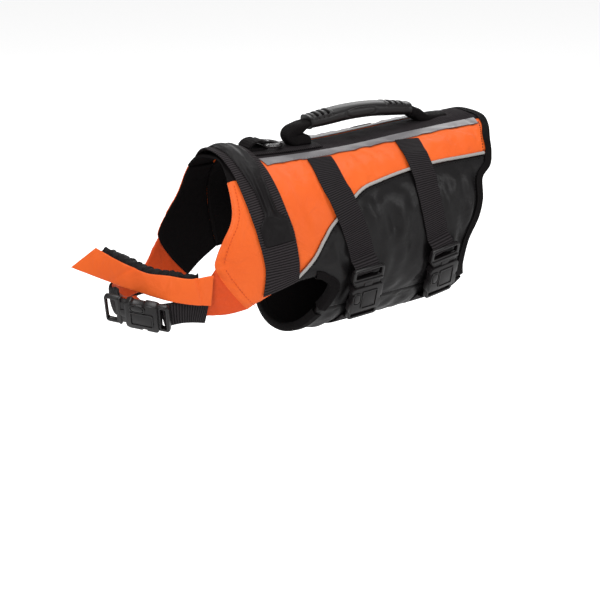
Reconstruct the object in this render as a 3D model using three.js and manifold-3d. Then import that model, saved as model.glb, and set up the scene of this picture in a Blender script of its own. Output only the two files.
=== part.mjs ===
// Dog life jacket, closed and filled out as it is worn: a foam saddle in an orange upper and black
// flanks, an orange front with a chin float, webbing straps with side-release buckles, a grab handle
// and a lead ring. Millimetres. +Z is up, -Y is the neck end and +X is the left side, with the girth
// buckles. The origin is on the inner face of the spine panel, at the middle of the back.
import * as THREE from 'three';
import Module from 'manifold-3d';
import { mergeVertices } from 'three/addons/utils/BufferGeometryUtils.js';

const wasm = await Module();
wasm.setup();

// Cloth and foam
const FOAM = 7;
const BELLY_FOAM = 5;
const FLAP_FOAM = 5;
const COLLAR_THICK = 3;
const SEAM = 0.4;
const SIDE_ROWS = 6;
const FLANK_ROWS = 8;

// Webbing, tape and trim
const WEBBING = 25;
const WIDE_WEBBING = 34;
const WEBBING_THICK = 1.6;
const LIFT = 0.9;
const TAPE_LIFT = 0.5;
const TAPE_THICK = 0.8;
const TAPE_LOW = 37.4;
const PIPING_HALF = 1.7;
const PIPING_LOW = 0.4;
const PIPING_HIGH = 2.0;
const BINDING_REACH = 7;
const BINDING_CLEAR = 0.9;
const BINDING_THICK = 1.1;

// Where the cut pieces meet, measured around the body from the middle of the back
const SPINE_HALF = 24;
const COLLAR_HALF = 50;
const COLLAR_SHARE = 0.16;
const FLANK_LOW = 205;
const STRAP_TOP = 40.2;

// Handle and lead ring
const GRIP_FROM = -50;
const GRIP_TO = 66;
const RING = { y: -101, z: 10.2, wire: 2.3, sides: 8, half: 16, reach: 22, dip: 0.09 };
const TAB = { half: 11, thick: 1.4, clear: 0.3, front: -118, base: 6.3, heel: 2.6, top: 3.2, wrap: 0.62 };

const ORANGE = 0xf26a24;
const DEEP_ORANGE = 0xd9501f;
const BLACK = 0x222023;
const SATIN = 0x29272b;
const WEB = 0x1d1c1e;
const PLASTIC = 0x343236;
const TAPE_GREY = 0x8d8c8d;
const PIPING_GREY = 0xaaa8a4;

// The body form: fan sections, each in the plane through its top and low points. station is the
// distance of the section's top along the back, which also names every place on the cloth.
const BODY = [
  { station: -152, topZ: 4, lowY: -252, lowZ: -92, half: 50, egg: 0 },
  { station: -128, topZ: 4, lowY: -247, lowZ: -142, half: 61, egg: 0 },
  { station: -95, topZ: 3, lowY: -178, lowZ: -170, half: 75, egg: 0.02 },
  { station: -62, topZ: 3, lowY: -90, lowZ: -176, half: 83, egg: 0.05 },
  { station: -15, topZ: 5, lowY: -25, lowZ: -173, half: 86, egg: 0.06 },
  { station: 60, topZ: 12, lowY: 50, lowZ: -168, half: 83, egg: 0.06 },
  { station: 145, topZ: 19, lowY: 110, lowZ: -163, half: 74, egg: 0.04 },
];
const UPPER_POWER = 2 / 2.5;
const LOWER_POWER = 2 / 2.15;
const SECTION_STEPS = 90;

// Value of one column of the body table at a station, on a smooth curve through its rows.
function bodyValue(column, station) {
  const last = BODY.length - 1;
  let i = 0;
  while (i < last - 1 && station > BODY[i + 1].station) i += 1;
  const slope = (k) => {
    const a = BODY[Math.max(k - 1, 0)];
    const b = BODY[Math.min(k + 1, last)];
    return (b[column] - a[column]) / (b.station - a.station);
  };
  const span = BODY[i + 1].station - BODY[i].station;
  const t = (station - BODY[i].station) / span;
  const rise = (2 * t ** 3 - 3 * t ** 2 + 1) * BODY[i][column];
  const fall = (3 * t ** 2 - 2 * t ** 3) * BODY[i + 1][column];
  const turnIn = (t ** 3 - 2 * t ** 2 + t) * slope(i) * span;
  const turnOut = (t ** 3 - t ** 2) * slope(i + 1) * span;
  return rise + fall + turnIn + turnOut;
}

// Half a section, from the middle of the back down to the middle of the belly, with its arc lengths.
const sectionCache = new Map();
function section(station) {
  const key = station.toFixed(3);
  if (sectionCache.has(key)) return sectionCache.get(key);
  const [topZ, lowY, lowZ, half, egg] = ['topZ', 'lowY', 'lowZ', 'half', 'egg'].map(
    (column) => bodyValue(column, station),
  );
  const points = [];
  const arcs = [0];
  for (let i = 0; i <= SECTION_STEPS; i += 1) {
    const angle = (Math.PI * i) / SECTION_STEPS;
    const power = i * 2 <= SECTION_STEPS ? UPPER_POWER : LOWER_POWER;
    const along = Math.sign(Math.cos(angle)) * Math.abs(Math.cos(angle)) ** power;
    const across = Math.max(Math.sin(angle), 0) ** power;
    points.push(new THREE.Vector3(
      half * (1 + egg * along) * across,
      (station + lowY) / 2 + ((station - lowY) / 2) * along,
      (topZ + lowZ) / 2 + ((topZ - lowZ) / 2) * along,
    ));
    if (i > 0) arcs.push(arcs[i - 1] + points[i].distanceTo(points[i - 1]));
  }
  const found = { points, arcs, girth: arcs[SECTION_STEPS] };
  sectionCache.set(key, found);
  return found;
}

const halfGirth = (station) => section(station).girth;

// Point of the outer face at a station and a distance around from the middle of the back, with the
// left side positive. Past the middle of the belly the distance goes on up the other side.
function skin(station, around) {
  const { points, arcs, girth } = section(station);
  let side = Math.sign(around) || 1;
  let distance = Math.abs(around);
  if (distance > girth) {
    distance = 2 * girth - distance;
    side = -side;
  }
  let low = 0;
  let high = SECTION_STEPS;
  while (high - low > 1) {
    const middle = (low + high) >> 1;
    if (arcs[middle] <= distance) low = middle;
    else high = middle;
  }
  const t = (distance - arcs[low]) / (arcs[high] - arcs[low]);
  const point = points[low].clone().lerp(points[high], t);
  point.x *= side;
  return point;
}

// Directions along the back and around the body at a place, and the outward normal.
function skinFrame(station, around) {
  const step = 1.5;
  const alongStation = skin(station + step, around).sub(skin(station - step, around));
  const alongArc = skin(station, around + step).sub(skin(station, around - step));
  alongStation.divideScalar(2 * step);
  alongArc.divideScalar(2 * step);
  const normal = alongArc.clone().cross(alongStation).normalize();
  return { alongStation, alongArc, normal };
}

function lifted(station, around, height) {
  const { normal } = skinFrame(station, around);
  return skin(station, around).addScaledVector(normal, height);
}

// A closed mesh from its points and triangles, with its faces turned outwards.
function closedMesh(points, triangles) {
  let volume = 0;
  triangles.forEach(([a, b, c]) => {
    volume += points[a].dot(points[b].clone().cross(points[c]));
  });
  const flat = triangles.flatMap(([a, b, c]) => (volume < 0 ? [a, c, b] : [a, b, c]));
  const geometry = new THREE.BufferGeometry();
  geometry.setAttribute(
    'position',
    new THREE.Float32BufferAttribute(points.flatMap((p) => [p.x, p.y, p.z]), 3),
  );
  geometry.setIndex(flat);
  return geometry;
}

// A wall: an outer and an inner grid over the same patch, joined around its rim.
function wall(columns, rows, outer, inner) {
  const points = [];
  [outer, inner].forEach((face) => {
    for (let j = 0; j <= rows; j += 1) {
      for (let i = 0; i <= columns; i += 1) points.push(face(i / columns, j / rows));
    }
  });
  const layer = (columns + 1) * (rows + 1);
  const at = (i, j) => j * (columns + 1) + i;
  const triangles = [];
  for (let j = 0; j < rows; j += 1) {
    for (let i = 0; i < columns; i += 1) {
      const [a, b, c, d] = [at(i, j), at(i + 1, j), at(i + 1, j + 1), at(i, j + 1)];
      triangles.push([a, b, c], [a, c, d]);
      triangles.push([layer + a, layer + c, layer + b], [layer + a, layer + d, layer + c]);
    }
  }
  const rim = [];
  for (let i = 0; i < columns; i += 1) rim.push(at(i, 0));
  for (let j = 0; j < rows; j += 1) rim.push(at(columns, j));
  for (let i = columns; i > 0; i -= 1) rim.push(at(i, rows));
  for (let j = rows; j > 0; j -= 1) rim.push(at(0, j));
  // Facing edges of two walls split their faces along the same diagonal.
  rim.forEach((a, k) => {
    const b = rim[(k + 1) % rim.length];
    if (k < columns + rows) triangles.push([b, a, layer + b], [a, layer + a, layer + b]);
    else triangles.push([b, a, layer + a], [b, layer + a, layer + b]);
  });
  return closedMesh(points, triangles);
}

// A solid through a row of rings with the same number of points. outline is one ring's flat shape,
// which says how its ends are closed; without it the row itself closes on its first ring.
function loft(rings, outline) {
  const size = rings[0].length;
  const points = rings.flat();
  const triangles = [];
  const spans = outline ? rings.length - 1 : rings.length;
  for (let r = 0; r < spans; r += 1) {
    const next = ((r + 1) % rings.length) * size;
    for (let k = 0; k < size; k += 1) {
      const l = (k + 1) % size;
      triangles.push([r * size + k, r * size + l, next + l], [r * size + k, next + l, next + k]);
    }
  }
  if (outline) {
    const flat = outline.map(([x, y]) => new THREE.Vector2(x, y));
    const clockwise = THREE.ShapeUtils.isClockWise(flat);
    const last = (rings.length - 1) * size;
    THREE.ShapeUtils.triangulateShape(flat, []).forEach(([a, b, c]) => {
      const turned = clockwise ? [a, b, c] : [a, c, b];
      triangles.push(turned, [last + turned[0], last + turned[2], last + turned[1]]);
    });
  }
  return closedMesh(points, triangles);
}

// A smooth curve through places on the cloth, each a station and a distance around.
function seamLine(places) {
  const curve = new THREE.SplineCurve(places.map(([s, a]) => new THREE.Vector2(s, a)));
  return (t) => {
    const place = curve.getPoint(Math.min(Math.max(t, 0), 1));
    return [place.x, place.y];
  };
}

const mirrored = (line) => (t) => [line(t)[0], -line(t)[1]];

// The patch between four seam lines that meet at its corners. u runs to the rear, w runs down.
function patchBetween(top, low, front, rear) {
  const corners = [top(0), top(1), low(0), low(1)];
  const value = (u, w, k) => {
    const sides = (1 - w) * top(u)[k] + w * low(u)[k] + (1 - u) * front(w)[k] + u * rear(w)[k];
    const upper = (1 - u) * corners[0][k] + u * corners[1][k];
    const lower = (1 - u) * corners[2][k] + u * corners[3][k];
    return sides - (1 - w) * upper - w * lower;
  };
  return (u, w) => [value(u, w, 0), value(u, w, 1)];
}

// The same patch drawn in by half a seam on every side.
function cutPiece(patch) {
  const span = (a, b) => Math.hypot(a[0] - b[0], a[1] - b[1]);
  return (u, w) => {
    const inU = SEAM / 2 / span(patch(0, w), patch(1, w));
    const inW = SEAM / 2 / span(patch(u, 0), patch(u, 1));
    return patch(inU + u * (1 - 2 * inU), inW + w * (1 - 2 * inW));
  };
}

function panel(patch, columns, rows, thick) {
  const piece = cutPiece(patch);
  return wall(
    columns,
    rows,
    (u, w) => lifted(...piece(u, w), 0),
    (u, w) => lifted(...piece(u, w), -thick),
  );
}

const mirrorPatch = (patch) => (u, w) => [patch(u, w)[0], -patch(u, w)[1]];

// Seams and edges of the left side; the right side mirrors them.
const NECK_EDGE = [[-152, 0], [-151, 15], [-148.5, 32], [-143, COLLAR_HALF]];
const SHOULDER_FRONT = [
  [-143, COLLAR_HALF], [-130, 80], [-125, 98], [-123.5, 116], [-121.5, 134], [-118, 148],
  [-105, 171], [-91.5, 193.5],
];
const FLAP_FROM = 5 / (SHOULDER_FRONT.length - 1);
const WITHERS_SEAM = [
  [-119.5, COLLAR_HALF], [-107, 82], [-95, 112], [-85, 142], [-79, 166],
];
const COLLAR_SEAM = [[-128, 0], [-127, 15], [-124, 32], [-119.5, COLLAR_HALF]];
const PIPING_LINE = [
  [-79, 166], [-70, 142], [-65.5, 124], [-58, 109], [-34, 87], [-10, 80.5], [26, 76], [62, 74.5],
  [100, 74], [129, 73],
];
const REAR_EDGE = [
  [144, 0], [144, 13], [143.5, 26], [138.5, 42], [132, 58], [129, 73], [125, 86], [113, 98],
  [115.5, 119], [113, 137], [103, 160], [107.5, 186], [122, FLANK_LOW],
];
const SHOULDER_LOW = [[-91.5, 193.5], [-86, 179], [-79, 166]];
const FLANK_FRONT = [[-79, 166], [-66, 162], [-58, 168], [-52.5, 176], [-53, 190], [-56, FLANK_LOW]];
const FLAP_TOP = [[-118, 148], [-118, 168], [-119, 183], [-127, 194], [-136, 199], [-141, 198]];
const FLAP_LOW = [[-91.5, 193.5], [-99, 200.5], [-110, 204], [-119, 212], [-127, 222], [-130, 228]];
const BELLY_FRONT = { seam: -56, middle: -60 };
const BELLY_REAR = { seam: 122, middle: 118 };

const neckEdge = seamLine(NECK_EDGE);
const collarSeam = seamLine(COLLAR_SEAM);
const shoulderFront = seamLine(SHOULDER_FRONT);
const withersSeam = seamLine(WITHERS_SEAM);
const pipingLine = seamLine(PIPING_LINE);
const rearEdge = seamLine(REAR_EDGE);
const shoulderLow = seamLine(SHOULDER_LOW);
const flankFront = seamLine(FLANK_FRONT);
const flapTop = seamLine(FLAP_TOP);
const flapLow = seamLine(FLAP_LOW);

// Where a line reaches a distance around, as its parameter.
function parameterAt(line, around) {
  let low = 0;
  let high = 1;
  const rising = line(1)[1] > line(0)[1];
  for (let i = 0; i < 40; i += 1) {
    const middle = (low + high) / 2;
    if ((line(middle)[1] < around) === rising) low = middle;
    else high = middle;
  }
  return (low + high) / 2;
}
const part = (line, from, to) => (t) => line(from + (to - from) * t);
const straight = (a, b) => (t) => [a[0] + (b[0] - a[0]) * t, a[1] + (b[1] - a[1]) * t];

const rearSpine = parameterAt(rearEdge, SPINE_HALF);
const rearPiping = parameterAt(rearEdge, PIPING_LINE.at(-1)[1]);
const collarSpine = parameterAt(collarSeam, SPINE_HALF);

// The front seam of the side panel follows the collar's seam and then the shoulder's.
const frontSeam = (t) => {
  if (t < COLLAR_SHARE) return part(collarSeam, collarSpine, 1)(t / COLLAR_SHARE);
  return withersSeam((t - COLLAR_SHARE) / (1 - COLLAR_SHARE));
};
const spineTop = straight(collarSeam(collarSpine), rearEdge(rearSpine));

const sidePatch = patchBetween(
  spineTop, pipingLine, frontSeam, part(rearEdge, rearSpine, rearPiping),
);
const flankPatch = patchBetween(
  pipingLine,
  straight([BELLY_FRONT.seam, FLANK_LOW], [BELLY_REAR.seam, FLANK_LOW]),
  flankFront,
  part(rearEdge, rearPiping, 1),
);
const shoulderPatch = patchBetween(
  straight([-143, COLLAR_HALF], [-119.5, COLLAR_HALF]), shoulderLow, shoulderFront, withersSeam,
);
const flapSeam = part(shoulderFront, FLAP_FROM, 1);
const flapPatch = patchBetween(flapTop, flapLow, flapSeam, straight(FLAP_TOP[5], FLAP_LOW[5]));

// The right flap goes on across the middle of the chest to meet the left one.
function rightFlapPatch(u, w) {
  const own = 8 / 11;
  if (u < own) {
    const [station, around] = flapPatch(u / own, w);
    return [station, -around];
  }
  const [station, around] = flapPatch(1, w);
  const beyond = 2 * (halfGirth(station) - around);
  return [station, -around - (beyond * (u - own)) / (1 - own)];
}

const spineLine = (t) => {
  const side = t < 0.5 ? -1 : 1;
  const share = Math.abs(t - 0.5) * 2;
  return { side, share };
};
const spinePatch = (u, w) => {
  const { side, share } = spineLine(w);
  const front = collarSeam(collarSpine * share);
  const rear = rearEdge(rearSpine * share);
  return [front[0] + (rear[0] - front[0]) * u, side * (front[1] + (rear[1] - front[1]) * u)];
};
const collarPatch = (u, w) => {
  const { side, share } = spineLine(w);
  const front = neckEdge(share);
  const rear = collarSeam(share);
  return [front[0] + (rear[0] - front[0]) * u, side * (front[1] + (rear[1] - front[1]) * u)];
};

// The belly panel closes the girth below both flanks.
const bellyEdgeAt = ({ seam, middle }, share) => middle + (seam - middle) * share ** 2;
const bellyPatch = (u, w) => {
  const { side, share } = spineLine(w);
  const front = bellyEdgeAt(BELLY_FRONT, share);
  const rear = bellyEdgeAt(BELLY_REAR, share);
  const station = front + (rear - front) * u;
  const girth = halfGirth(station);
  return [station, side * (girth - (girth - FLANK_LOW) * share)];
};

// A flat strap on the cloth. path gives places along its middle and height its clearance, both
// from 0 to 1. Its edges are set out square to it, at its true width, or at a slant where it is cut
// along an edge.
function strap(path, steps, width, height, thick, slant = () => 0) {
  const outline = [[-1, 0], [0, 0], [1, 0], [1, 1], [0, 1], [-1, 1]];
  const rings = [];
  for (let i = 0; i <= steps; i += 1) {
    const t = i / steps;
    const [station, around] = path(t);
    const { alongStation, alongArc, normal } = skinFrame(station, around);
    const ahead = path(Math.min(t + 0.01, 1));
    const behind = path(Math.max(t - 0.01, 0));
    const run = skin(...ahead).sub(skin(...behind)).normalize();
    const aside = normal.clone().cross(run).normalize();
    const [ss, sa, aa] = [
      alongStation.dot(alongStation), alongStation.dot(alongArc), alongArc.dot(alongArc),
    ];
    aside.addScaledVector(run, slant(t));
    const [bs, ba] = [aside.dot(alongStation), aside.dot(alongArc)];
    const scale = width / 2 / (ss * aa - sa * sa);
    const moveStation = (bs * aa - ba * sa) * scale;
    const moveAround = (ba * ss - bs * sa) * scale;
    rings.push(outline.map(([side, layer]) => lifted(
      station + side * moveStation,
      around + side * moveAround,
      height(t) + layer * thick,
    )));
  }
  return loft(rings, outline);
}

// A folded tape around the edge of a wall: a channel that follows the edge line.
function binding(line, stops, side, thick) {
  const out = BINDING_CLEAR + BINDING_THICK;
  const low = -thick;
  const gap = 0.6;
  const outline = [
    [-BINDING_REACH, out], [gap, out], [gap + BINDING_THICK, out - BINDING_THICK],
    [gap + BINDING_THICK, low - BINDING_CLEAR], [gap, low - out], [-BINDING_REACH, low - out],
    [-BINDING_REACH, low - BINDING_CLEAR], [gap, low - BINDING_CLEAR], [gap, BINDING_CLEAR],
    [-BINDING_REACH, BINDING_CLEAR],
  ];
  const rings = stops.map((t) => {
    const [station, around] = line(t);
    const { normal } = skinFrame(station, around);
    const run = skin(...line(Math.min(t + 0.02, 1))).sub(skin(...line(Math.max(t - 0.02, 0))));
    const aside = run.normalize().cross(normal).normalize().multiplyScalar(side);
    const edge = skin(station, around);
    return outline.map(([across, up]) => (
      edge.clone().addScaledVector(aside, across).addScaledVector(normal, up)
    ));
  });
  return loft(rings, outline);
}

const evenStops = (steps) => Array.from({ length: steps + 1 }, (_, i) => i / steps);

// A raised cord in the seam between the upper and the flank.
function piping(line, steps) {
  const shoulder = (PIPING_LOW + PIPING_HIGH) / 2;
  const outline = [
    [-PIPING_HALF, PIPING_LOW], [PIPING_HALF, PIPING_LOW], [PIPING_HALF, shoulder],
    [PIPING_HALF / 2, PIPING_HIGH], [-PIPING_HALF / 2, PIPING_HIGH], [-PIPING_HALF, shoulder],
  ];
  const rings = [];
  for (let i = 0; i <= steps; i += 1) {
    const t = i / steps;
    const place = line(t);
    const { normal } = skinFrame(...place);
    const run = skin(...line(Math.min(t + 0.02, 1))).sub(skin(...line(Math.max(t - 0.02, 0))));
    const aside = run.normalize().cross(normal).normalize();
    rings.push(outline.map(([across, up]) => (
      skin(...place).addScaledVector(aside, across).addScaledVector(normal, up)
    )));
  }
  return loft(rings, outline);
}

const smooth = (t) => {
  const s = Math.min(Math.max(t, 0), 1);
  return s * s * (3 - 2 * s);
};

// Girth straps: their middle line, the same on both sides, by distance around.
const FRONT_GIRTH = {
  line: [[-58, 30], [-58, 66], [-50.5, 96], [-38.5, 128], [-30, 156], [-24, 188], [-20, 230], [-19, 290]],
  crossing: 99,
  middle: 186,
};
const REAR_GIRTH = {
  line: [[42, 30], [37, 70], [42, 110], [55, 152], [66, 186], [71, 230], [73, 290]],
  crossing: 75,
  middle: 184,
};
const BUCKLE_HALF = 31;
const BAR_DEPTH = 13;
const PIPING_CLEAR = 1.5;
const PIPING_STEP = 9;
const BUCKLE_RISE = 0.6;
const BUCKLE_RAMP = 14;
const BUCKLE_OFF = 1.5;

function girthStation(girth, around) {
  const line = seamLine(girth.line);
  return line(parameterAt(line, around))[0];
}

// Clearance of a girth strap at a distance around: it steps over the piping, and rises to the
// bar of its buckle.
function girthLift(girth, distance, buckled) {
  const over = PIPING_CLEAR * smooth(2.4 - Math.abs(distance - girth.crossing) / PIPING_STEP);
  const reach = BUCKLE_HALF - BAR_DEPTH / 2 - Math.abs(distance - girth.middle);
  const rise = buckled ? BUCKLE_RISE * smooth(1.2 + reach / BUCKLE_RAMP) : 0;
  return LIFT + over + rise;
}

function girthStrapLeft(girth) {
  const end = girth.middle - BUCKLE_HALF + BAR_DEPTH;
  const around = (t) => STRAP_TOP + (end - STRAP_TOP) * t;
  return strap(
    (t) => [girthStation(girth, around(t)), around(t)],
    16,
    WEBBING,
    (t) => girthLift(girth, around(t), true),
    WEBBING_THICK,
  );
}

function girthStrapRight(girth) {
  const bottom = halfGirth(girth.line.at(-1)[0]);
  const end = 2 * bottom - (girth.middle + BUCKLE_HALF - BAR_DEPTH);
  const around = (t) => STRAP_TOP + (end - STRAP_TOP) * t;
  const onBody = (distance) => (distance > bottom ? 2 * bottom - distance : distance);
  return strap(
    (t) => [girthStation(girth, onBody(around(t))), -around(t)],
    44,
    WEBBING,
    (t) => girthLift(girth, onBody(around(t)), around(t) > bottom),
    WEBBING_THICK,
  );
}

// Chest strap: its middle line from the sewn end on the left shoulder to the middle of the chest.
const CHEST_LINE = [
  [-109, 195], [-116, 196], [-124, 202], [-130, 212], [-135.5, 222], [-139, 231],
];
const CHEST_BUCKLE = {
  place: [-134, 207], upper: [-138, 218], lower: [-118, 203], off: 3, faceZ: -0.5,
};
const CHEST_END = [-137.8, 214.4];
const CHEST_RISE = { left: 2.4, middle: 0.7, right: 4 };

function chestStrapLeft() {
  const line = part(seamLine(CHEST_LINE), 0, 0.43);
  const height = (t) => LIFT + CHEST_RISE.left * smooth((t - 0.55) / 0.45);
  return strap(line, 6, WEBBING, height, WEBBING_THICK);
}

function chestStrapRight() {
  const line = seamLine(CHEST_LINE);
  const [middleStation, middleAround] = CHEST_LINE.at(-1);
  const [endStation, endAround] = CHEST_END;
  const reach = 0.34;
  const path = (t) => {
    if (t > reach) return mirrored(line)(1 - (t - reach) / (1 - reach));
    const share = 1 - t / reach;
    const across = 2 * halfGirth(middleStation) - middleAround - endAround;
    return [middleStation + share * (endStation - middleStation), -middleAround - across * share];
  };
  const height = (t) => LIFT + CHEST_RISE.middle + CHEST_RISE.right * smooth(1 - t / reach);
  return strap(path, 16, WEBBING, height, WEBBING_THICK);
}

// Plates with a rounded outline and holes, joined to one solid.
function solidOf(geometry) {
  const bare = geometry.clone();
  bare.deleteAttribute('normal');
  bare.deleteAttribute('uv');
  const merged = mergeVertices(bare, 1e-4);
  return new wasm.Manifold(new wasm.Mesh({
    numProp: 3,
    vertProperties: new Float32Array(merged.attributes.position.array),
    triVerts: new Uint32Array(merged.index.array),
  }));
}

function geometryOf(solid) {
  const mesh = solid.getMesh();
  const geometry = new THREE.BufferGeometry();
  const positions = new THREE.Float32BufferAttribute(mesh.vertProperties, 3);
  geometry.setAttribute('position', positions);
  geometry.setIndex(new THREE.BufferAttribute(mesh.triVerts, 1));
  return geometry;
}

function roundedPlate({ x = 0, y, width, length, corner, low, high, turns = 2 }) {
  const [left, bottom] = [x - width / 2, y - length / 2];
  const shape = new THREE.Shape();
  shape.moveTo(left + corner, bottom);
  shape.lineTo(left + width - corner, bottom);
  shape.quadraticCurveTo(left + width, bottom, left + width, bottom + corner);
  shape.lineTo(left + width, bottom + length - corner);
  shape.quadraticCurveTo(left + width, bottom + length, left + width - corner, bottom + length);
  shape.lineTo(left + corner, bottom + length);
  shape.quadraticCurveTo(left, bottom + length, left, bottom + length - corner);
  shape.lineTo(left, bottom + corner);
  shape.quadraticCurveTo(left, bottom, left + corner, bottom);
  const body = new THREE.ExtrudeGeometry(shape, {
    depth: high - low,
    bevelEnabled: false,
    curveSegments: turns,
  });
  body.translate(0, 0, low);
  return solidOf(body);
}

// Half of a side-release buckle, flat in its own frame: x across, y down the strap, z outwards.
// The plug takes the upper end and the socket the lower one, with the release on the socket's left.
function bucklePlug() {
  const frame = roundedPlate({ y: -24, width: 33, length: 14, corner: 3, low: 0.6, high: 5.4 });
  const neck = roundedPlate({ y: -9.4, width: 27, length: 17.6, corner: 2, low: 0.6, high: 7 });
  const slot = roundedPlate({ y: -25, width: 26, length: 5, corner: 1, low: -1, high: 9 });
  return geometryOf(frame.add(neck).subtract(slot));
}

function buckleSocket() {
  const body = roundedPlate({ y: 10.6, width: 34, length: 20.6, corner: 4, low: 0, high: 9 });
  const end = roundedPlate({ y: 24.5, width: 32, length: 13, corner: 3, low: 0.6, high: 6 });
  const slot = roundedPlate({ y: 25.5, width: 26, length: 4.4, corner: 1, low: -1, high: 9 });
  const raised = roundedPlate({ x: 2, y: 11, width: 15, length: 15, corner: 1, low: 8, high: 10 });
  const release = roundedPlate({
    x: -11.4, y: 10.6, width: 6, length: 13, corner: 3, low: 8, high: 10.4,
  });
  const notch = roundedPlate({ x: 17.6, y: 8, width: 4, length: 7, corner: 1, low: 4, high: 11 });
  const joined = body.add(end).add(raised).add(release);
  return geometryOf(joined.subtract(slot).subtract(notch));
}

// Places a buckle on the cloth: down is the direction of its strap, out its outward face.
function buckleMatrix(centre, down, out) {
  const outward = out.clone().addScaledVector(down, -out.dot(down)).normalize();
  const across = down.clone().cross(outward).normalize();
  return new THREE.Matrix4().makeBasis(across, down, outward).setPosition(centre);
}

function girthBuckleMatrix(girth) {
  const station = girthStation(girth, girth.middle);
  const reach = BUCKLE_HALF - 4;
  const ends = [-reach, reach].map((step) => (
    skin(girthStation(girth, girth.middle + step), girth.middle + step)
  ));
  const down = ends[1].clone().sub(ends[0]).normalize();
  const { normal } = skinFrame(station, girth.middle);
  return buckleMatrix(lifted(station, girth.middle, BUCKLE_OFF), down, normal);
}

function chestBuckleMatrix() {
  const { place, upper, lower, off, faceZ } = CHEST_BUCKLE;
  const down = skin(...lower).sub(skin(...upper)).normalize();
  const { normal } = skinFrame(...place);
  const face = new THREE.Vector3(normal.x, normal.y, faceZ);
  return buckleMatrix(lifted(...place, off), down, face.normalize());
}

// Chin float: places down the length of its orange band, from the near end to the free far end,
// at its upper and lower edges. thick is the pad behind it.
const CHIN_BAND = [
  { upper: [69, -187, -90], lower: [69, -190, -118.5], thick: 3 },
  { upper: [63.5, -207, -91.5], lower: [63.5, -212, -115], thick: 4 },
  { upper: [51, -225, -89], lower: [52, -231, -110.5], thick: 9 },
  { upper: [33, -238, -89], lower: [34, -242, -108], thick: 14 },
  { upper: [8, -252, -83], lower: [12, -256, -104.3], thick: 17 },
  { upper: [-12, -257, -80], lower: [-14, -267, -101.4], thick: 14 },
  { upper: [-30, -261, -77], lower: [-44, -281, -97], thick: 5 },
];
const BAND_THICK = 2;
const PAD_GAP = 0.6;

function chinRow(t) {
  const rows = ['upper', 'lower'].map((edge) => (
    new THREE.CatmullRomCurve3(CHIN_BAND.map((row) => new THREE.Vector3(...row[edge])))
  ));
  const position = t * (CHIN_BAND.length - 1);
  const index = Math.min(Math.floor(position), CHIN_BAND.length - 2);
  const share = position - index;
  const thick = CHIN_BAND[index].thick * (1 - share) + CHIN_BAND[index + 1].thick * share;
  const [upper, lower] = rows.map((curve) => curve.getPoint(t));
  const step = 0.02;
  const run = rows[0].getPoint(Math.min(t + step, 1)).sub(rows[0].getPoint(Math.max(t - step, 0)));
  const inward = run.cross(lower.clone().sub(upper)).normalize();
  if (inward.dot(new THREE.Vector3(-0.5, 1, 0)) < 0) inward.negate();
  return { upper, lower, inward, thick };
}

function chinBand() {
  return wall(
    14,
    3,
    (u, w) => {
      const { upper, lower } = chinRow(u);
      return upper.clone().lerp(lower, w);
    },
    (u, w) => {
      const { upper, lower, inward } = chinRow(u);
      return upper.clone().lerp(lower, w).addScaledVector(inward, BAND_THICK);
    },
  );
}

function chinPad() {
  const [from, to] = [0.1, 0.97];
  const rings = [];
  const outline = [[0, -0.1], [0.3, -0.22], [0.8, -0.2], [1, -0.06], [1, 0.6], [0.7, 0.8], [0, 0.84]];
  for (let i = 0; i <= 12; i += 1) {
    const { upper, lower, inward, thick } = chinRow(from + ((to - from) * i) / 12);
    rings.push(outline.map(([deep, down]) => (
      upper.clone().lerp(lower, down).addScaledVector(inward, BAND_THICK + PAD_GAP + deep * thick)
    )));
  }
  return loft(rings, outline);
}

// Handle: middle line in the plane of symmetry, from the front foot over the grip to the rear foot.
const FRONT_CORE = [
  [-50, 8.65], [-60, 8.5], [-67.5, 10], [-71.5, 15], [-68, 20], [-60, 23], [GRIP_FROM - 0.8, 25.9],
];
const GRIP_LINE = [[GRIP_FROM, 26.1], [-30, 28.8], [-8, 31.6], [20, 32.6], [44, 31], [GRIP_TO, 28.6]];
const REAR_CORE = [
  [GRIP_TO + 0.9, 28.3], [74, 25.6], [81, 21.2], [89, 17.9], [98, 18.1], [108, 18.85],
];

function sweepInProfile(places, steps, ringAt) {
  const curve = new THREE.CatmullRomCurve3(places.map(([y, z]) => new THREE.Vector3(0, y, z)));
  const rings = [];
  for (let i = 0; i <= steps; i += 1) {
    const t = i / steps;
    const tangent = curve.getTangent(t);
    const up = new THREE.Vector3(0, -tangent.z, tangent.y);
    const centre = curve.getPoint(t);
    rings.push(ringAt(t).map(([x, z]) => (
      centre.clone().add(new THREE.Vector3(x, 0, 0)).addScaledVector(up, z)
    )));
  }
  return loft(rings, ringAt(0));
}

function ovalRing(halfWidth, halfHeight, sides) {
  return Array.from({ length: sides }, (_, k) => {
    const angle = (2 * Math.PI * (k + 0.5)) / sides;
    const power = 2 / 2.6;
    const [c, s] = [Math.cos(angle), Math.sin(angle)];
    return [
      halfWidth * Math.sign(c) * Math.abs(c) ** power,
      halfHeight * Math.sign(s) * Math.abs(s) ** power,
    ];
  });
}

function handleCore(places, steps) {
  return sweepInProfile(places, steps, () => ovalRing(11, 2.6, 8));
}

// The moulded grip swells at its middle and has three low ribs at each end.
function handleGrip() {
  const steps = 40;
  const ribs = [0.1, 0.17, 0.24, 0.76, 0.83, 0.9];
  return sweepInProfile(GRIP_LINE, steps, (t) => {
    const rib = ribs.some((place) => Math.abs(place - t) < 0.02) ? 0.8 : 0;
    const taper = 1 - 0.18 * Math.abs(2 * t - 1) ** 3;
    return ovalRing(12 * taper + rib, 7.4 * taper + rib, 12);
  });
}

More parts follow.
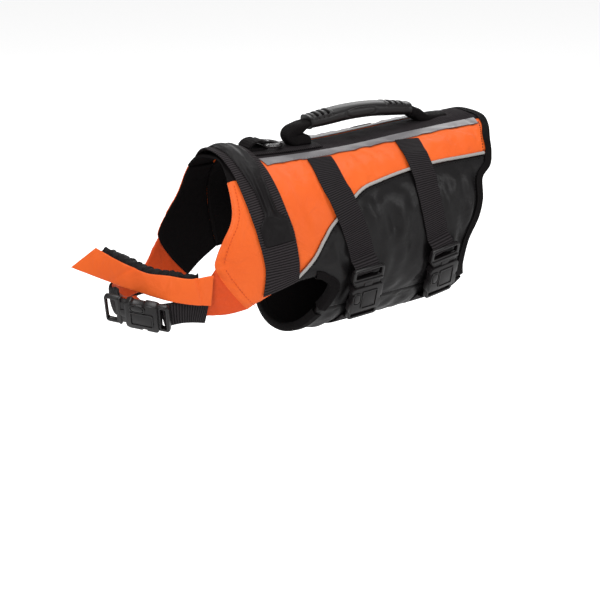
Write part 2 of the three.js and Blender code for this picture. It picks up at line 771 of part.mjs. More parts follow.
// Lead ring: a straight bar in its tab and a round bow that lies to the rear on the webbing.
function leadRing() {
  const { y, z, wire, half, reach, dip, sides } = RING;
  const inner = half - wire;
  const bow = inner * 0.82;
  const cut = 2;
  const barSpans = 5;
  const bowSpans = 8;
  const point = (across, back) => new THREE.Vector3(
    across,
    y + back * Math.cos(dip),
    z - back * Math.sin(dip),
  );
  const depth = reach - wire;
  const centres = evenStops(barSpans).map((t) => point((2 * t - 1) * (inner - cut), 0));
  centres.push(point(inner, cut), point(inner, depth - bow));
  evenStops(bowSpans).slice(1, -1).forEach((t) => {
    const back = depth - bow * (1 - Math.sin(Math.PI * t));
    centres.push(point(inner * Math.cos(Math.PI * t), back));
  });
  centres.push(point(-inner, depth - bow), point(-inner, cut));
  const plane = new THREE.Vector3(0, Math.sin(dip), Math.cos(dip));
  const rings = centres.map((centre, k) => {
    const ahead = centres[(k + 1) % centres.length];
    const behind = centres[(k + centres.length - 1) % centres.length];
    const aside = ahead.clone().sub(behind).normalize().cross(plane).normalize();
    return Array.from({ length: sides }, (_, j) => {
      const angle = (2 * Math.PI * (j + 0.5)) / sides;
      return centre.clone()
        .addScaledVector(aside, wire * Math.cos(angle))
        .addScaledVector(plane, wire * Math.sin(angle));
    });
  });
  return loft(rings);
}

// Webbing tab: it lies on the spine webbing, turns around the ring's bar and is sewn to itself.
function ringTab() {
  const { half, thick, clear, front, base, heel, top, wrap } = TAB;
  const bore = RING.wire + clear;
  const outer = bore + thick;
  const shape = new THREE.Shape();
  shape.moveTo(front, base);
  shape.lineTo(RING.y, RING.z - outer);
  shape.absarc(RING.y, RING.z, outer, -Math.PI / 2, Math.PI * wrap, false);
  shape.lineTo(front + top, base + top);
  shape.lineTo(front, base + heel);
  shape.closePath();
  const hole = new THREE.Path();
  hole.absarc(RING.y, RING.z, bore, 0, 2 * Math.PI, true);
  shape.holes.push(hole);
  const body = new THREE.ExtrudeGeometry(shape, {
    depth: 2 * half,
    bevelEnabled: false,
    curveSegments: 10,
  });
  const turn = new THREE.Matrix4().makeBasis(
    new THREE.Vector3(0, 1, 0), new THREE.Vector3(0, 0, 1), new THREE.Vector3(1, 0, 0),
  );
  body.translate(0, 0, -half);
  return body.applyMatrix4(turn);
}

// Wide webbing over the withers, from one armhole to the other, bowed clear of the collar at the
// nape, and the smooth strip sewn on it.
const WITHERS_LINE = [
  [-139, 0], [-137, 12], [-131, 30], [-119.5, 56], [-108, 82], [-95.5, 113], [-86, 145], [-81.5, 174],
];
const NAPE_BOW = 4.5;
const WITHERS_REACH = 169;
const WITHERS_SLANT = 0.42;
const NAPE_STRIP = { reach: 122, back: 1.8, clear: 0.5, thick: 1.2 };
const SPINE_WEBBING = { from: -119, length: 77, half: 18 };
const napeBow = (around) => NAPE_BOW * Math.exp(-((around / 26) ** 2));

function withersPath(reach) {
  const line = seamLine(WITHERS_LINE);
  return (t) => {
    const around = (2 * t - 1) * reach;
    const station = line(parameterAt(line, Math.abs(around)))[0];
    return [station, around];
  };
}

function withersWebbing() {
  const path = withersPath(WITHERS_REACH);
  const height = (t) => LIFT + napeBow(path(t)[1]);
  const slant = (t) => WITHERS_SLANT * smooth((Math.abs(2 * t - 1) - 0.85) / 0.15) * Math.sign(0.5 - t);
  return strap(path, 34, WIDE_WEBBING, height, WEBBING_THICK, slant);
}

function napeStrip() {
  const { reach, back, clear, thick } = NAPE_STRIP;
  const path = withersPath(reach);
  const height = (t) => LIFT + WEBBING_THICK + clear + napeBow(path(t)[1]);
  const shifted = (t) => [path(t)[0] + back, path(t)[1]];
  return strap(shifted, 28, WEBBING, height, thick);
}

function spineWebbing() {
  const { from, length, half } = SPINE_WEBBING;
  const face = (height) => (u, w) => lifted(from + u * length, half * (2 * w - 1), height);
  return wall(8, 2, face(LIFT + WEBBING_THICK), face(LIFT));
}

// Reflective tape along the upper edge of the side panel, made from the panel's own rows.
function reflectiveTape(side) {
  const piece = cutPiece(sidePatch);
  const [from, to] = [0.042, 0.955];
  const [frontLean, rearLean] = [5.5, -3];
  const place = (u, w) => {
    const top = piece(from + (to - from) * u, 0);
    const lean = frontLean * (1 - u) + rearLean * u;
    const high = top[1] + SEAM;
    return [top[0] + lean * w, side * (high + (TAPE_LOW - high) * w)];
  };
  return wall(
    20,
    1,
    (u, w) => lifted(...place(u, w), TAPE_LIFT + TAPE_THICK),
    (u, w) => lifted(...place(u, w), TAPE_LIFT),
  );
}

// The armhole's edge: under the shoulder and then down the front of the flank.
const edgeLine = (t) => {
  const split = 0.3;
  if (t < split) return shoulderLow(t / split);
  return flankFront((t - split) / (1 - split));
};

const model = new THREE.Group();

function add(name, geometry, color, roughness = 0.85, metalness = 0) {
  const material = new THREE.MeshStandardMaterial({ color, roughness, metalness });
  const mesh = new THREE.Mesh(geometry, material);
  mesh.name = name;
  model.add(mesh);
  return mesh;
}

add('spine_panel', panel(spinePatch, 16, 4, FOAM), BLACK);
add('nape_collar', panel(collarPatch, 3, 10, COLLAR_THICK), BLACK);
add('belly_panel', panel(bellyPatch, 12, 12, BELLY_FOAM), SATIN);

const SIDES = [
  { side: 'left', sign: 1, turn: (patch) => patch },
  { side: 'right', sign: -1, turn: mirrorPatch },
];
SIDES.forEach(({ side, sign, turn }) => {
  add(`side_panel_${side}`, panel(turn(sidePatch), 18, SIDE_ROWS, FOAM), ORANGE);
  add(`flank_panel_${side}`, panel(turn(flankPatch), 18, FLANK_ROWS, FOAM), SATIN, 0.6);
  add(`shoulder_panel_${side}`, panel(turn(shoulderPatch), 4, 14, FLAP_FOAM), ORANGE);
  add(`reflective_tape_${side}`, reflectiveTape(sign), TAPE_GREY, 0.5);
});
add('chest_flap_left', panel(flapPatch, 8, 4, FLAP_FOAM), DEEP_ORANGE);
add('chest_flap_right', panel(rightFlapPatch, 11, 4, FLAP_FOAM), DEEP_ORANGE);

const pipingRun = part(pipingLine, 0.072, 0.955);
add('piping_left', piping(pipingRun, 26), PIPING_GREY, 0.6);
add('piping_right', piping(mirrored(pipingRun), 26), PIPING_GREY, 0.6);

// The rear binding turns where the rows of the panels end, so that it follows their edges.
const rearRun = (t) => {
  const { side, share } = spineLine(t);
  const [station, around] = rearEdge(share);
  return [station, side * around];
};
const rearShares = [
  ...evenStops(2).map((k) => k * rearSpine),
  ...evenStops(SIDE_ROWS).slice(1).map((k) => rearSpine + k * (rearPiping - rearSpine)),
  ...evenStops(FLANK_ROWS).slice(1, -1).map((k) => rearPiping + k * (1 - rearPiping)),
  0.985,
];
const rearStops = [
  ...rearShares.slice(1).reverse().map((share) => 0.5 - share / 2),
  ...rearShares.map((share) => 0.5 + share / 2),
];
add('rear_binding', binding(rearRun, rearStops, -1, FOAM), BLACK);
const legRun = part(edgeLine, 0.46, 0.97);
add('leg_binding_left', binding(legRun, evenStops(12), 1, FOAM), BLACK);
add('leg_binding_right', binding(mirrored(legRun), evenStops(12), -1, FOAM), BLACK);
const bellyEdge = (u) => (t) => bellyPatch(u, 0.03 + 0.94 * t);
add('belly_front_binding', binding(bellyEdge(0), evenStops(12), -1, BELLY_FOAM), BLACK);
add('belly_rear_binding', binding(bellyEdge(1), evenStops(12), 1, BELLY_FOAM), BLACK);

add('withers_webbing', withersWebbing(), WEB);
add('nape_strip', napeStrip(), BLACK);
add('spine_webbing', spineWebbing(), WEB);

const GIRTHS = [['front', FRONT_GIRTH], ['rear', REAR_GIRTH]];
GIRTHS.forEach(([name, girth]) => {
  add(`girth_strap_${name}_left`, girthStrapLeft(girth), WEB);
  add(`girth_strap_${name}_right`, girthStrapRight(girth), WEB);
  const matrix = girthBuckleMatrix(girth);
  add(`girth_buckle_${name}_plug`, bucklePlug().applyMatrix4(matrix), PLASTIC, 0.45);
  add(`girth_buckle_${name}_socket`, buckleSocket().applyMatrix4(matrix), PLASTIC, 0.45);
});
add('chest_strap_left', chestStrapLeft(), WEB);
add('chest_strap_right', chestStrapRight(), WEB);
const chestMatrix = chestBuckleMatrix();
add('chest_buckle_plug', bucklePlug().applyMatrix4(chestMatrix), PLASTIC, 0.45);
add('chest_buckle_socket', buckleSocket().applyMatrix4(chestMatrix), PLASTIC, 0.45);

add('chin_band', chinBand(), ORANGE);
add('chin_pad', chinPad(), BLACK);

add('handle_core_front', handleCore(FRONT_CORE, 14), WEB);
add('handle_core_rear', handleCore(REAR_CORE, 10), WEB);
add('handle_grip', handleGrip(), PLASTIC, 0.6);
add('ring_tab', ringTab(), WEB);
add('lead_ring', leadRing(), PLASTIC, 0.4, 0.3);

export default model;
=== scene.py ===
"""Looks of a small life jacket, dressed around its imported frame.

Places on the cloth are written as (station, around): the distance along the back and the distance
around the body from the middle of the back, both in millimetres. MM turns millimetres into metres
when a mesh is made. +Z is up, -Y is the neck end and +X is the jacket's left side.
"""

import logging
import math
from dataclasses import dataclass
from enum import Enum
from functools import partial
from typing import Callable, Optional, Sequence

import bmesh
import bpy
import numpy as np
from mathutils import Matrix, Vector

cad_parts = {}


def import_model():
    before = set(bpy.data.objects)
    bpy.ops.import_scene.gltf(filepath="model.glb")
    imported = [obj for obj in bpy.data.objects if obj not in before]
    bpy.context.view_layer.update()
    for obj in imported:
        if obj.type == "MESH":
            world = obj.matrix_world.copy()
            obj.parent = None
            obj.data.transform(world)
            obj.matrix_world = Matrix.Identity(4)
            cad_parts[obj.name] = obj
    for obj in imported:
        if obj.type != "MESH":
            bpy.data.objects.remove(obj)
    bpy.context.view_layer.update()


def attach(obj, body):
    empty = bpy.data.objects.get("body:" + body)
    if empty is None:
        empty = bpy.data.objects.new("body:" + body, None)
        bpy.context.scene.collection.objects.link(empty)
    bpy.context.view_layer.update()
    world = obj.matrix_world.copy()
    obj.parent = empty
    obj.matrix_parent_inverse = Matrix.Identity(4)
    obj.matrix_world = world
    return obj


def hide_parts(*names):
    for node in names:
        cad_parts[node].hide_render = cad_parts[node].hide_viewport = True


MM = 0.001
LOG = logging.getLogger("life_jacket")

Array = np.ndarray
Line = Callable[[Array], Array]
Surface = Callable[[Array, Array], Array]

# One wave's turn as the ripples of the foam and the ribs of the webbing take it
CLOTH_TURN, RIB_TURN = 6.28, 6.283

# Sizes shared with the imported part, in millimetres
FOAM, BELLY_FOAM, FLAP_FOAM, COLLAR_THICK = 7.0, 5.0, 5.0, 3.0
SEAM, SEWN = 0.4, -0.04
WEBBING, WIDE_WEBBING, WEBBING_THICK = 25.0, 34.0, 1.6
LIFT = 0.9
SPINE_HALF, COLLAR_HALF, COLLAR_SHARE, FLANK_LOW = 24.0, 50.0, 0.16, 205.0
STRAP_TOP = 40.2
TAPE_LOW = 37.4
BINDING_REACH, BINDING_CLEAR = 7.0, 0.9


class Side(Enum):
    """The two halves of the jacket."""

    LEFT = 1
    RIGHT = -1

    @property
    def word(self) -> str:
        """The side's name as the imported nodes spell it."""
        return self.name.lower()


class Held(Enum):
    """How a sheet of cloth is held in its place."""

    LAID = "laid"
    FOLDED = "folded"
    STRETCHED = "stretched"


def smooth(t: Array) -> Array:
    """A soft step from 0 to 1."""
    t = np.clip(t, 0.0, 1.0)
    return t * t * (3.0 - 2.0 * t)


def crowded(t: Array, share: float = 0.8) -> Array:
    """Moves even steps towards both ends, where a panel turns into its seam."""
    return t - share * np.sin(2.0 * math.pi * t) / (2.0 * math.pi)


def unit(v: Array) -> Array:
    """Each row of an array of vectors at length 1."""
    return v / np.maximum(np.linalg.norm(v, axis=-1, keepdims=True), 1e-12)


# The form of the body


@dataclass
class BodyForm:
    """The outer face that all the cloth lies on, from fan-shaped sections along the back.

    Each row is station, top z, low y, low z, half width and egg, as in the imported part.
    """

    rows: tuple[tuple[float, ...], ...] = (
        (-152, 4, -252, -92, 50, 0.0),
        (-128, 4, -247, -142, 61, 0.0),
        (-95, 3, -178, -170, 75, 0.02),
        (-62, 3, -90, -176, 83, 0.05),
        (-15, 5, -25, -173, 86, 0.06),
        (60, 12, 50, -168, 83, 0.06),
        (145, 19, 110, -163, 74, 0.04),
    )
    upper_power: float = 2 / 2.5
    lower_power: float = 2 / 2.15
    first: float = -162.0
    last: float = 156.0
    turns: int = 720

    def __post_init__(self) -> None:
        """Tabulates the sections at every millimetre, at even distances around."""
        stations = np.arange(self.first, self.last + 0.5)
        angle = np.linspace(0.0, math.pi, 361)
        power = np.where(angle <= math.pi / 2 + 1e-9, self.upper_power, self.lower_power)
        along = np.sign(np.cos(angle)) * np.abs(np.cos(angle)) ** power
        across = np.clip(np.sin(angle), 0.0, None) ** power
        top, low_y, low_z, half, egg = (self.column(k, stations) for k in range(1, 6))
        even = np.linspace(0.0, 1.0, self.turns + 1)
        self.points = np.empty((len(stations), self.turns + 1, 3))
        self.girths = np.empty(len(stations))
        for i, station in enumerate(stations):
            x = half[i] * (1 + egg[i] * along) * across
            y = (station + low_y[i]) / 2 + (station - low_y[i]) / 2 * along
            z = (top[i] + low_z[i]) / 2 + (top[i] - low_z[i]) / 2 * along
            section = np.stack([x, y, z], axis=1)
            arcs = np.r_[0, np.cumsum(np.linalg.norm(np.diff(section, axis=0), axis=1))]
            self.girths[i] = arcs[-1]
            for k in range(3):
                self.points[i, :, k] = np.interp(even * arcs[-1], arcs, section[:, k])

    def run_along(self, line: Line, t: Array, step: float) -> Array:
        """The direction in which a line on the form runs, at shares of its length."""
        ahead = self.skin(*np.moveaxis(line(np.minimum(t + step, 1)), -1, 0))
        behind = self.skin(*np.moveaxis(line(np.maximum(t - step, 0)), -1, 0))
        return unit(ahead - behind)

    def column(self, k: int, station: Array) -> Array:
        """Value of a column of the table on a smooth curve through its rows.

        Args:
            k: the column's number.
            station: places along the back.

        Returns:
            The column's value at each place.
        """
        table = np.array(self.rows, float)
        places, values = table[:, 0], table[:, k]
        slopes = np.empty(len(places))
        for i in range(len(places)):
            a, b = max(i - 1, 0), min(i + 1, len(places) - 1)
            slopes[i] = (values[b] - values[a]) / (places[b] - places[a])
        i = np.clip(np.searchsorted(places, station) - 1, 0, len(places) - 2)
        span = places[i + 1] - places[i]
        t = (station - places[i]) / span
        return (
            (2 * t**3 - 3 * t**2 + 1) * values[i]
            + (3 * t**2 - 2 * t**3) * values[i + 1]
            + (t**3 - 2 * t**2 + t) * slopes[i] * span
            + (t**3 - t**2) * slopes[i + 1] * span
        )

    def half_girth(self, station: Array) -> Array:
        """Distance from the middle of the back to the middle of the belly."""
        return np.interp(station, np.arange(self.first, self.last + 0.5), self.girths)

    def skin(self, station: Array, around: Array) -> Array:
        """Points of the outer face; past the middle of the belly it goes on up the other side.

        Args:
            station: distances along the back.
            around: distances from the middle of the back, positive to the left.

        Returns:
            One point for each place, in millimetres.
        """
        station, around = np.broadcast_arrays(np.asarray(station, float), np.asarray(around, float))
        girth = self.half_girth(station)
        side = np.where(around < 0, -1.0, 1.0)
        distance = np.abs(around)
        over = distance > girth
        distance = np.where(over, 2 * girth - distance, distance)
        side = np.where(over, -side, side)
        row = np.clip(station - self.first, 0, len(self.girths) - 1.001)
        turn = np.clip(distance / girth * self.turns, 0, self.turns - 0.001)
        i, j = row.astype(int), turn.astype(int)
        f, g = (row - i)[..., None], (turn - j)[..., None]
        near = self.points[i, j] * (1 - g) + self.points[i, j + 1] * g
        far = self.points[i + 1, j] * (1 - g) + self.points[i + 1, j + 1] * g
        found = near * (1 - f) + far * f
        found[..., 0] *= side
        return found

    def directions(self, station: Array, around: Array) -> tuple[Array, Array, Array]:
        """Directions along the back and around the body, and the outward normal."""
        step = 1.5
        along = (self.skin(station + step, around) - self.skin(station - step, around)) / (2 * step)
        turn = (self.skin(station, around + step) - self.skin(station, around - step)) / (2 * step)
        return along, turn, unit(np.cross(turn, along))

    def lifted(self, places: Array, height: Array) -> Array:
        """Points at a height over the outer face.

        Args:
            places: rows of station and around.
            height: distance out along the normal, one for all or one each.

        Returns:
            One point for each place, in millimetres.
        """
        station, around = places[..., 0], places[..., 1]
        normal = self.directions(station, around)[2]
        return self.skin(station, around) + normal * np.asarray(height, float)[..., None]


# Lines and patches on the cloth


class SeamLine:
    """A smooth curve through places on the cloth."""

    def __init__(self, places: Sequence[Sequence[float]]) -> None:
        """Keeps the places that the line goes through."""
        self.places = np.array(places, float)

    def __call__(self, t: Array) -> Array:
        """Places at shares of the line from 0 to 1."""
        p, last = self.places, len(self.places) - 1
        s = np.clip(np.asarray(t, float), 0, 1) * last
        i = np.minimum(s.astype(int), last - 1)
        f = (s - i)[..., None]
        a, b = p[np.maximum(i - 1, 0)], p[i]
        c, d = p[i + 1], p[np.minimum(i + 2, last)]
        v, w = (c - a) / 2, (d - b) / 2
        return (2 * b - 2 * c + v + w) * f**3 + (-3 * b + 3 * c - 2 * v - w) * f**2 + v * f + b

    def share_at(self, around: float) -> float:
        """Where the line reaches a distance around, as a share of its length."""
        low, high = 0.0, 1.0
        rising = self(np.array(1.0))[1] > self(np.array(0.0))[1]
        for _ in range(40):
            middle = (low + high) / 2
            if (self(np.array(middle))[1] < around) == rising:
                low = middle
            else:
                high = middle
        return (low + high) / 2


def stretch_of(line: Line, start: float, end: float) -> Line:
    """The stretch of a line between two shares of it."""
    return lambda t: line(start + (end - start) * np.asarray(t, float))


def straight(a: Sequence[float], b: Sequence[float]) -> Line:
    """A straight line between two places."""
    first, last = np.array(a, float), np.array(b, float)
    return lambda t: first + (last - first) * np.asarray(t, float)[..., None]


def mirrored(line: Line, side: Side) -> Line:
    """A line of the left side, on the side asked for."""
    return lambda t: line(t) * np.array([1.0, side.value])


def patch_between(top: Line, low: Line, front: Line, rear: Line) -> Surface:
    """The patch between four lines that meet at its corners; u runs to the rear and w down."""
    ends = np.array([0.0, 1.0])
    upper, lower = top(ends), low(ends)

    def patch(u: Array, w: Array) -> Array:
        """Places of the patch."""
        a, b = u[..., None], w[..., None]
        sides = (1 - b) * top(u) + b * low(u) + (1 - a) * front(w) + a * rear(w)
        corners = (1 - b) * ((1 - a) * upper[0] + a * upper[1])
        return sides - corners - b * ((1 - a) * lower[0] + a * lower[1])

    return patch


def cut_piece(patch: Surface) -> Surface:
    """The same patch drawn in by a hair on every side, where it is sewn to the next."""

    def piece(u: Array, w: Array) -> Array:
        """Places of the piece that is cut for the patch."""
        one = np.ones_like(u)
        in_u = SEWN / 2 / np.linalg.norm(patch(0 * one, w) - patch(one, w), axis=-1)
        in_w = SEWN / 2 / np.linalg.norm(patch(u, 0 * one) - patch(u, one), axis=-1)
        return patch(in_u + u * (1 - 2 * in_u), in_w + w * (1 - 2 * in_w))

    return piece


@dataclass
class Pattern:
    """The cut of the jacket: its seams and edges on the left side, which the right side mirrors."""

    body: BodyForm
    neck: SeamLine = SeamLine([(-152, 0), (-151, 15), (-148.5, 32), (-143, COLLAR_HALF)])
    collar: SeamLine = SeamLine([(-128, 0), (-127, 15), (-124, 32), (-119.5, COLLAR_HALF)])
    shoulder_front: SeamLine = SeamLine(
        [
            (-143, COLLAR_HALF), (-130, 80), (-125, 98), (-123.5, 116),
            (-121.5, 134), (-118, 148), (-105, 171), (-91.5, 193.5),
        ]
    )
    withers: SeamLine = SeamLine(
        [(-119.5, COLLAR_HALF), (-107, 82), (-95, 112), (-85, 142), (-79, 166)]
    )
    piping: SeamLine = SeamLine(
        [
            (-79, 166), (-70, 142), (-65.5, 124), (-58, 109), (-34, 87),
            (-10, 80.5), (26, 76), (62, 74.5), (100, 74), (129, 73),
        ]
    )
    rear: SeamLine = SeamLine(
        [
            (144, 0), (144, 13), (143.5, 26), (138.5, 42), (132, 58), (129, 73), (125, 86),
            (113, 98), (115.5, 119), (113, 137), (103, 160), (107.5, 186), (122, FLANK_LOW),
        ]
    )
    shoulder_low: SeamLine = SeamLine([(-91.5, 193.5), (-86, 179), (-79, 166)])
    flank_front: SeamLine = SeamLine(
        [(-79, 166), (-66, 162), (-58, 168), (-52.5, 176), (-53, 190), (-56, FLANK_LOW)]
    )
    flap_top: SeamLine = SeamLine(
        [(-118, 148), (-118, 168), (-119, 183), (-127, 194), (-136, 199), (-141, 198)]
    )
    flap_low: SeamLine = SeamLine(
        [(-91.5, 193.5), (-99, 200.5), (-110, 204), (-119, 212), (-127, 222), (-130, 228)]
    )
    belly_front: tuple[float, float] = (-56.0, -60.0)
    belly_rear: tuple[float, float] = (122.0, 118.0)
    flap_from: float = 5 / 7
    flap_own: float = 8 / 11

    def __post_init__(self) -> None:
        """Finds where the seams cross and sets out the patches between them."""
        self.rear_spine = self.rear.share_at(SPINE_HALF)
        self.rear_piping = self.rear.share_at(73)
        self.collar_spine = self.collar.share_at(SPINE_HALF)
        top = straight(
            self.collar(np.array(self.collar_spine)), self.rear(np.array(self.rear_spine))
        )
        self.side = patch_between(
            top,
            self.piping,
            self.front_seam,
            stretch_of(self.rear, self.rear_spine, self.rear_piping),
        )
        self.flank = patch_between(
            self.piping,
            straight((self.belly_front[0], FLANK_LOW), (self.belly_rear[0], FLANK_LOW)),
            self.flank_front,
            stretch_of(self.rear, self.rear_piping, 1.0),
        )
        self.shoulder = patch_between(
            straight((-143, COLLAR_HALF), (-119.5, COLLAR_HALF)),
            self.shoulder_low,
            self.shoulder_front,
            self.withers,
        )
        self.flap = patch_between(
            self.flap_top,
            self.flap_low,
            stretch_of(self.shoulder_front, self.flap_from, 1.0),
            straight((-141, 198), (-130, 228)),
        )

    def front_seam(self, t: Array) -> Array:
        """The side panel's front seam: along the collar's seam and then the shoulder's."""
        t = np.asarray(t, float)
        collar = stretch_of(self.collar, self.collar_spine, 1.0)(t / COLLAR_SHARE)
        withers = self.withers((t - COLLAR_SHARE) / (1 - COLLAR_SHARE))
        return np.where((t < COLLAR_SHARE)[..., None], collar, withers)

    def across(self, front: Line, rear: Line, u: Array, w: Array) -> Array:
        """A patch that crosses the middle, between a front and a rear line of one side."""
        side = np.where(w < 0.5, -1.0, 1.0)
        share = np.abs(w - 0.5) * 2
        a, b = front(share), rear(share)
        place = a + (b - a) * u[..., None]
        return np.stack([place[..., 0], place[..., 1] * side], axis=-1)

    def spine(self, u: Array, w: Array) -> Array:
        """Places of the spine panel."""
        front = stretch_of(self.collar, 0.0, self.collar_spine)
        rear = stretch_of(self.rear, 0.0, self.rear_spine)
        return self.across(front, rear, u, w)

    def nape(self, u: Array, w: Array) -> Array:
        """Places of the collar at the nape."""
        return self.across(self.neck, self.collar, u, w)

    def belly(self, u: Array, w: Array) -> Array:
        """Places of the belly panel, which closes the girth below both flanks."""
        side = np.where(w < 0.5, -1.0, 1.0)
        share = np.abs(w - 0.5) * 2
        front = self.belly_front[1] + (self.belly_front[0] - self.belly_front[1]) * share**2
        rear = self.belly_rear[1] + (self.belly_rear[0] - self.belly_rear[1]) * share**2
        station = front + (rear - front) * u
        girth = self.body.half_girth(station)
        return np.stack([station, side * (girth - (girth - FLANK_LOW) * share)], axis=-1)

    def right_flap(self, u: Array, w: Array) -> Array:
        """Places of the right flap, which goes on across the chest to meet the left one."""
        own = self.flap(np.minimum(u / self.flap_own, 1.0), w)
        beyond = 2 * (self.body.half_girth(own[..., 0]) - own[..., 1])
        share = np.clip((u - self.flap_own) / (1 - self.flap_own), 0, 1)
        return np.stack([own[..., 0], -own[..., 1] - beyond * share], axis=-1)

    def armhole(self, t: Array) -> Array:
        """The armhole's edge: under the shoulder and then down the front of the flank."""
        split = 0.3
        t = np.asarray(t, float)
        under = self.shoulder_low(t / split)
        down = self.flank_front((t - split) / (1 - split))
        return np.where((t < split)[..., None], under, down)


@dataclass(frozen=True)
class GirthLine:
    """The middle line of a girth strap, the same on both sides, by distance around."""

    name: str
    places: tuple[tuple[float, float], ...]
    crossing: float
    middle: float

    def station(self, around: Array) -> Array:
        """Station of the strap's middle at a distance around."""
        line = SeamLine(self.places)(np.linspace(0, 1, 401))
        return np.interp(around, line[:, 1], line[:, 0])


FRONT_GIRTH = GirthLine(
    "front",
    (
        (-58, 30), (-58, 66), (-50.5, 96), (-38.5, 128), (-30, 156), (-24, 188), (-20, 230),
        (-19, 290),
    ),
    crossing=99,
    middle=186,
)
REAR_GIRTH = GirthLine(
    "rear",
    ((42, 30), (37, 70), (42, 110), (55, 152), (66, 186), (71, 230), (73, 290)),
    crossing=75,
    middle=184,
)
GIRTHS = (FRONT_GIRTH, REAR_GIRTH)
CHEST_LINE = ((-109, 195), (-116, 196), (-124, 202), (-130, 212), (-135.5, 222), (-139, 231))
WITHERS_LINE = (
    (-139, 0), (-137, 12), (-131, 30), (-119.5, 56), (-108, 82), (-95.5, 113), (-86, 145),
    (-81.5, 174),
)


@dataclass(frozen=True)
class Crease:
    """A soft trough in the cloth, or a ridge where its depth is negative."""

    start: tuple[float, float]
    end: tuple[float, float]
    depth: float
    width: float


# Creases, each its start, end, depth and width: those of the left side are read from
# the photograph's folds, and the right side has similar ones by the same pull of its straps.
LEFT_CREASES = (
    ((-40, 42), (-33, 60), 1.1, 3.0), ((-26, 40), (-19, 72), 1.4, 4.0),
    ((-12, 41), (-3, 62), 1.2, 3.2), ((3, 42), (12, 60), 1.4, 3.4),
    ((16, 42), (21, 53), 0.9, 2.6), ((-92, 44), (-76, 92), 0.9, 6.0),
    ((-104, 58), (-92, 84), 0.8, 4.0), ((66, 44), (62, 66), 0.8, 4.0),
    ((92, 42), (88, 64), 0.8, 4.5), ((112, 44), (118, 60), 0.9, 3.5),
    ((-50, 126), (-41, 200), 2.3, 5.0), ((-57, 130), (-53, 168), -0.9, 4.0),
    ((-8, 98), (-2, 188), 2.0, 5.5), ((4, 106), (10, 176), -1.4, 6.0),
    ((15, 92), (22, 160), 1.7, 6.5), ((27, 100), (32, 198), -0.8, 7.0),
    ((-22, 104), (-14, 140), 1.2, 4.0), ((80, 90), (84, 178), 1.4, 6.0),
    ((92, 96), (97, 150), -1.1, 6.0), ((102, 84), (106, 134), 1.4, 5.0),
    ((38, 150), (50, 205), 1.2, 5.0), ((-112, 92), (-104, 128), 0.8, 5.0),
    ((-106, 148), (-97, 176), 1.1, 4.0), ((-120, 154), (-104, 166), 1.2, 3.0),
    ((-128, 160), (-112, 190), 1.6, 3.2), ((-134, 148), (-126, 176), 1.4, 2.8),
    ((-124, 120), (-118, 150), 1.1, 3.6), ((-133, 112), (-129, 138), -0.8, 3.4),
    ((-117, 184), (-103, 196), 1.2, 3.2), ((-58, 44), (-50, 76), 1.1, 3.4),
    ((-66, 62), (-52, 112), 0.9, 6.5), ((24, 42), (34, 66), 1.2, 3.2),
    ((30, 60), (27, 84), 0.9, 4.0),
)
RIGHT_CREASES = (
    ((-38, 41), (-30, 64), 1.2, 3.4), ((-22, 42), (-17, 66), 0.9, 3.0),
    ((-6, 41), (0, 70), 1.4, 4.0), ((14, 42), (18, 56), 1.1, 3.0),
    ((-88, 46), (-74, 86), 1.1, 5.0), ((70, 43), (66, 68), 0.9, 4.0),
    ((98, 43), (95, 66), 1.1, 4.0), ((-48, 128), (-42, 190), 2.0, 5.0),
    ((-4, 96), (4, 180), 1.9, 6.0), ((10, 110), (14, 168), -1.2, 6.0),
    ((20, 96), (29, 150), 1.4, 6.0), ((84, 92), (90, 186), 1.6, 6.0),
    ((98, 92), (102, 140), -0.9, 6.0), ((-108, 90), (-100, 132), 0.9, 5.0),
    ((-104, 150), (-94, 178), 0.9, 4.0), ((-126, 158), (-113, 186), 1.4, 3.4),
    ((-123, 118), (-116, 152), 1.2, 3.6), ((-133, 146), (-127, 172), 1.1, 3.0),
    ((26, 44), (33, 70), 1.1, 3.2), ((-60, 60), (-50, 104), 0.9, 6.0),
)


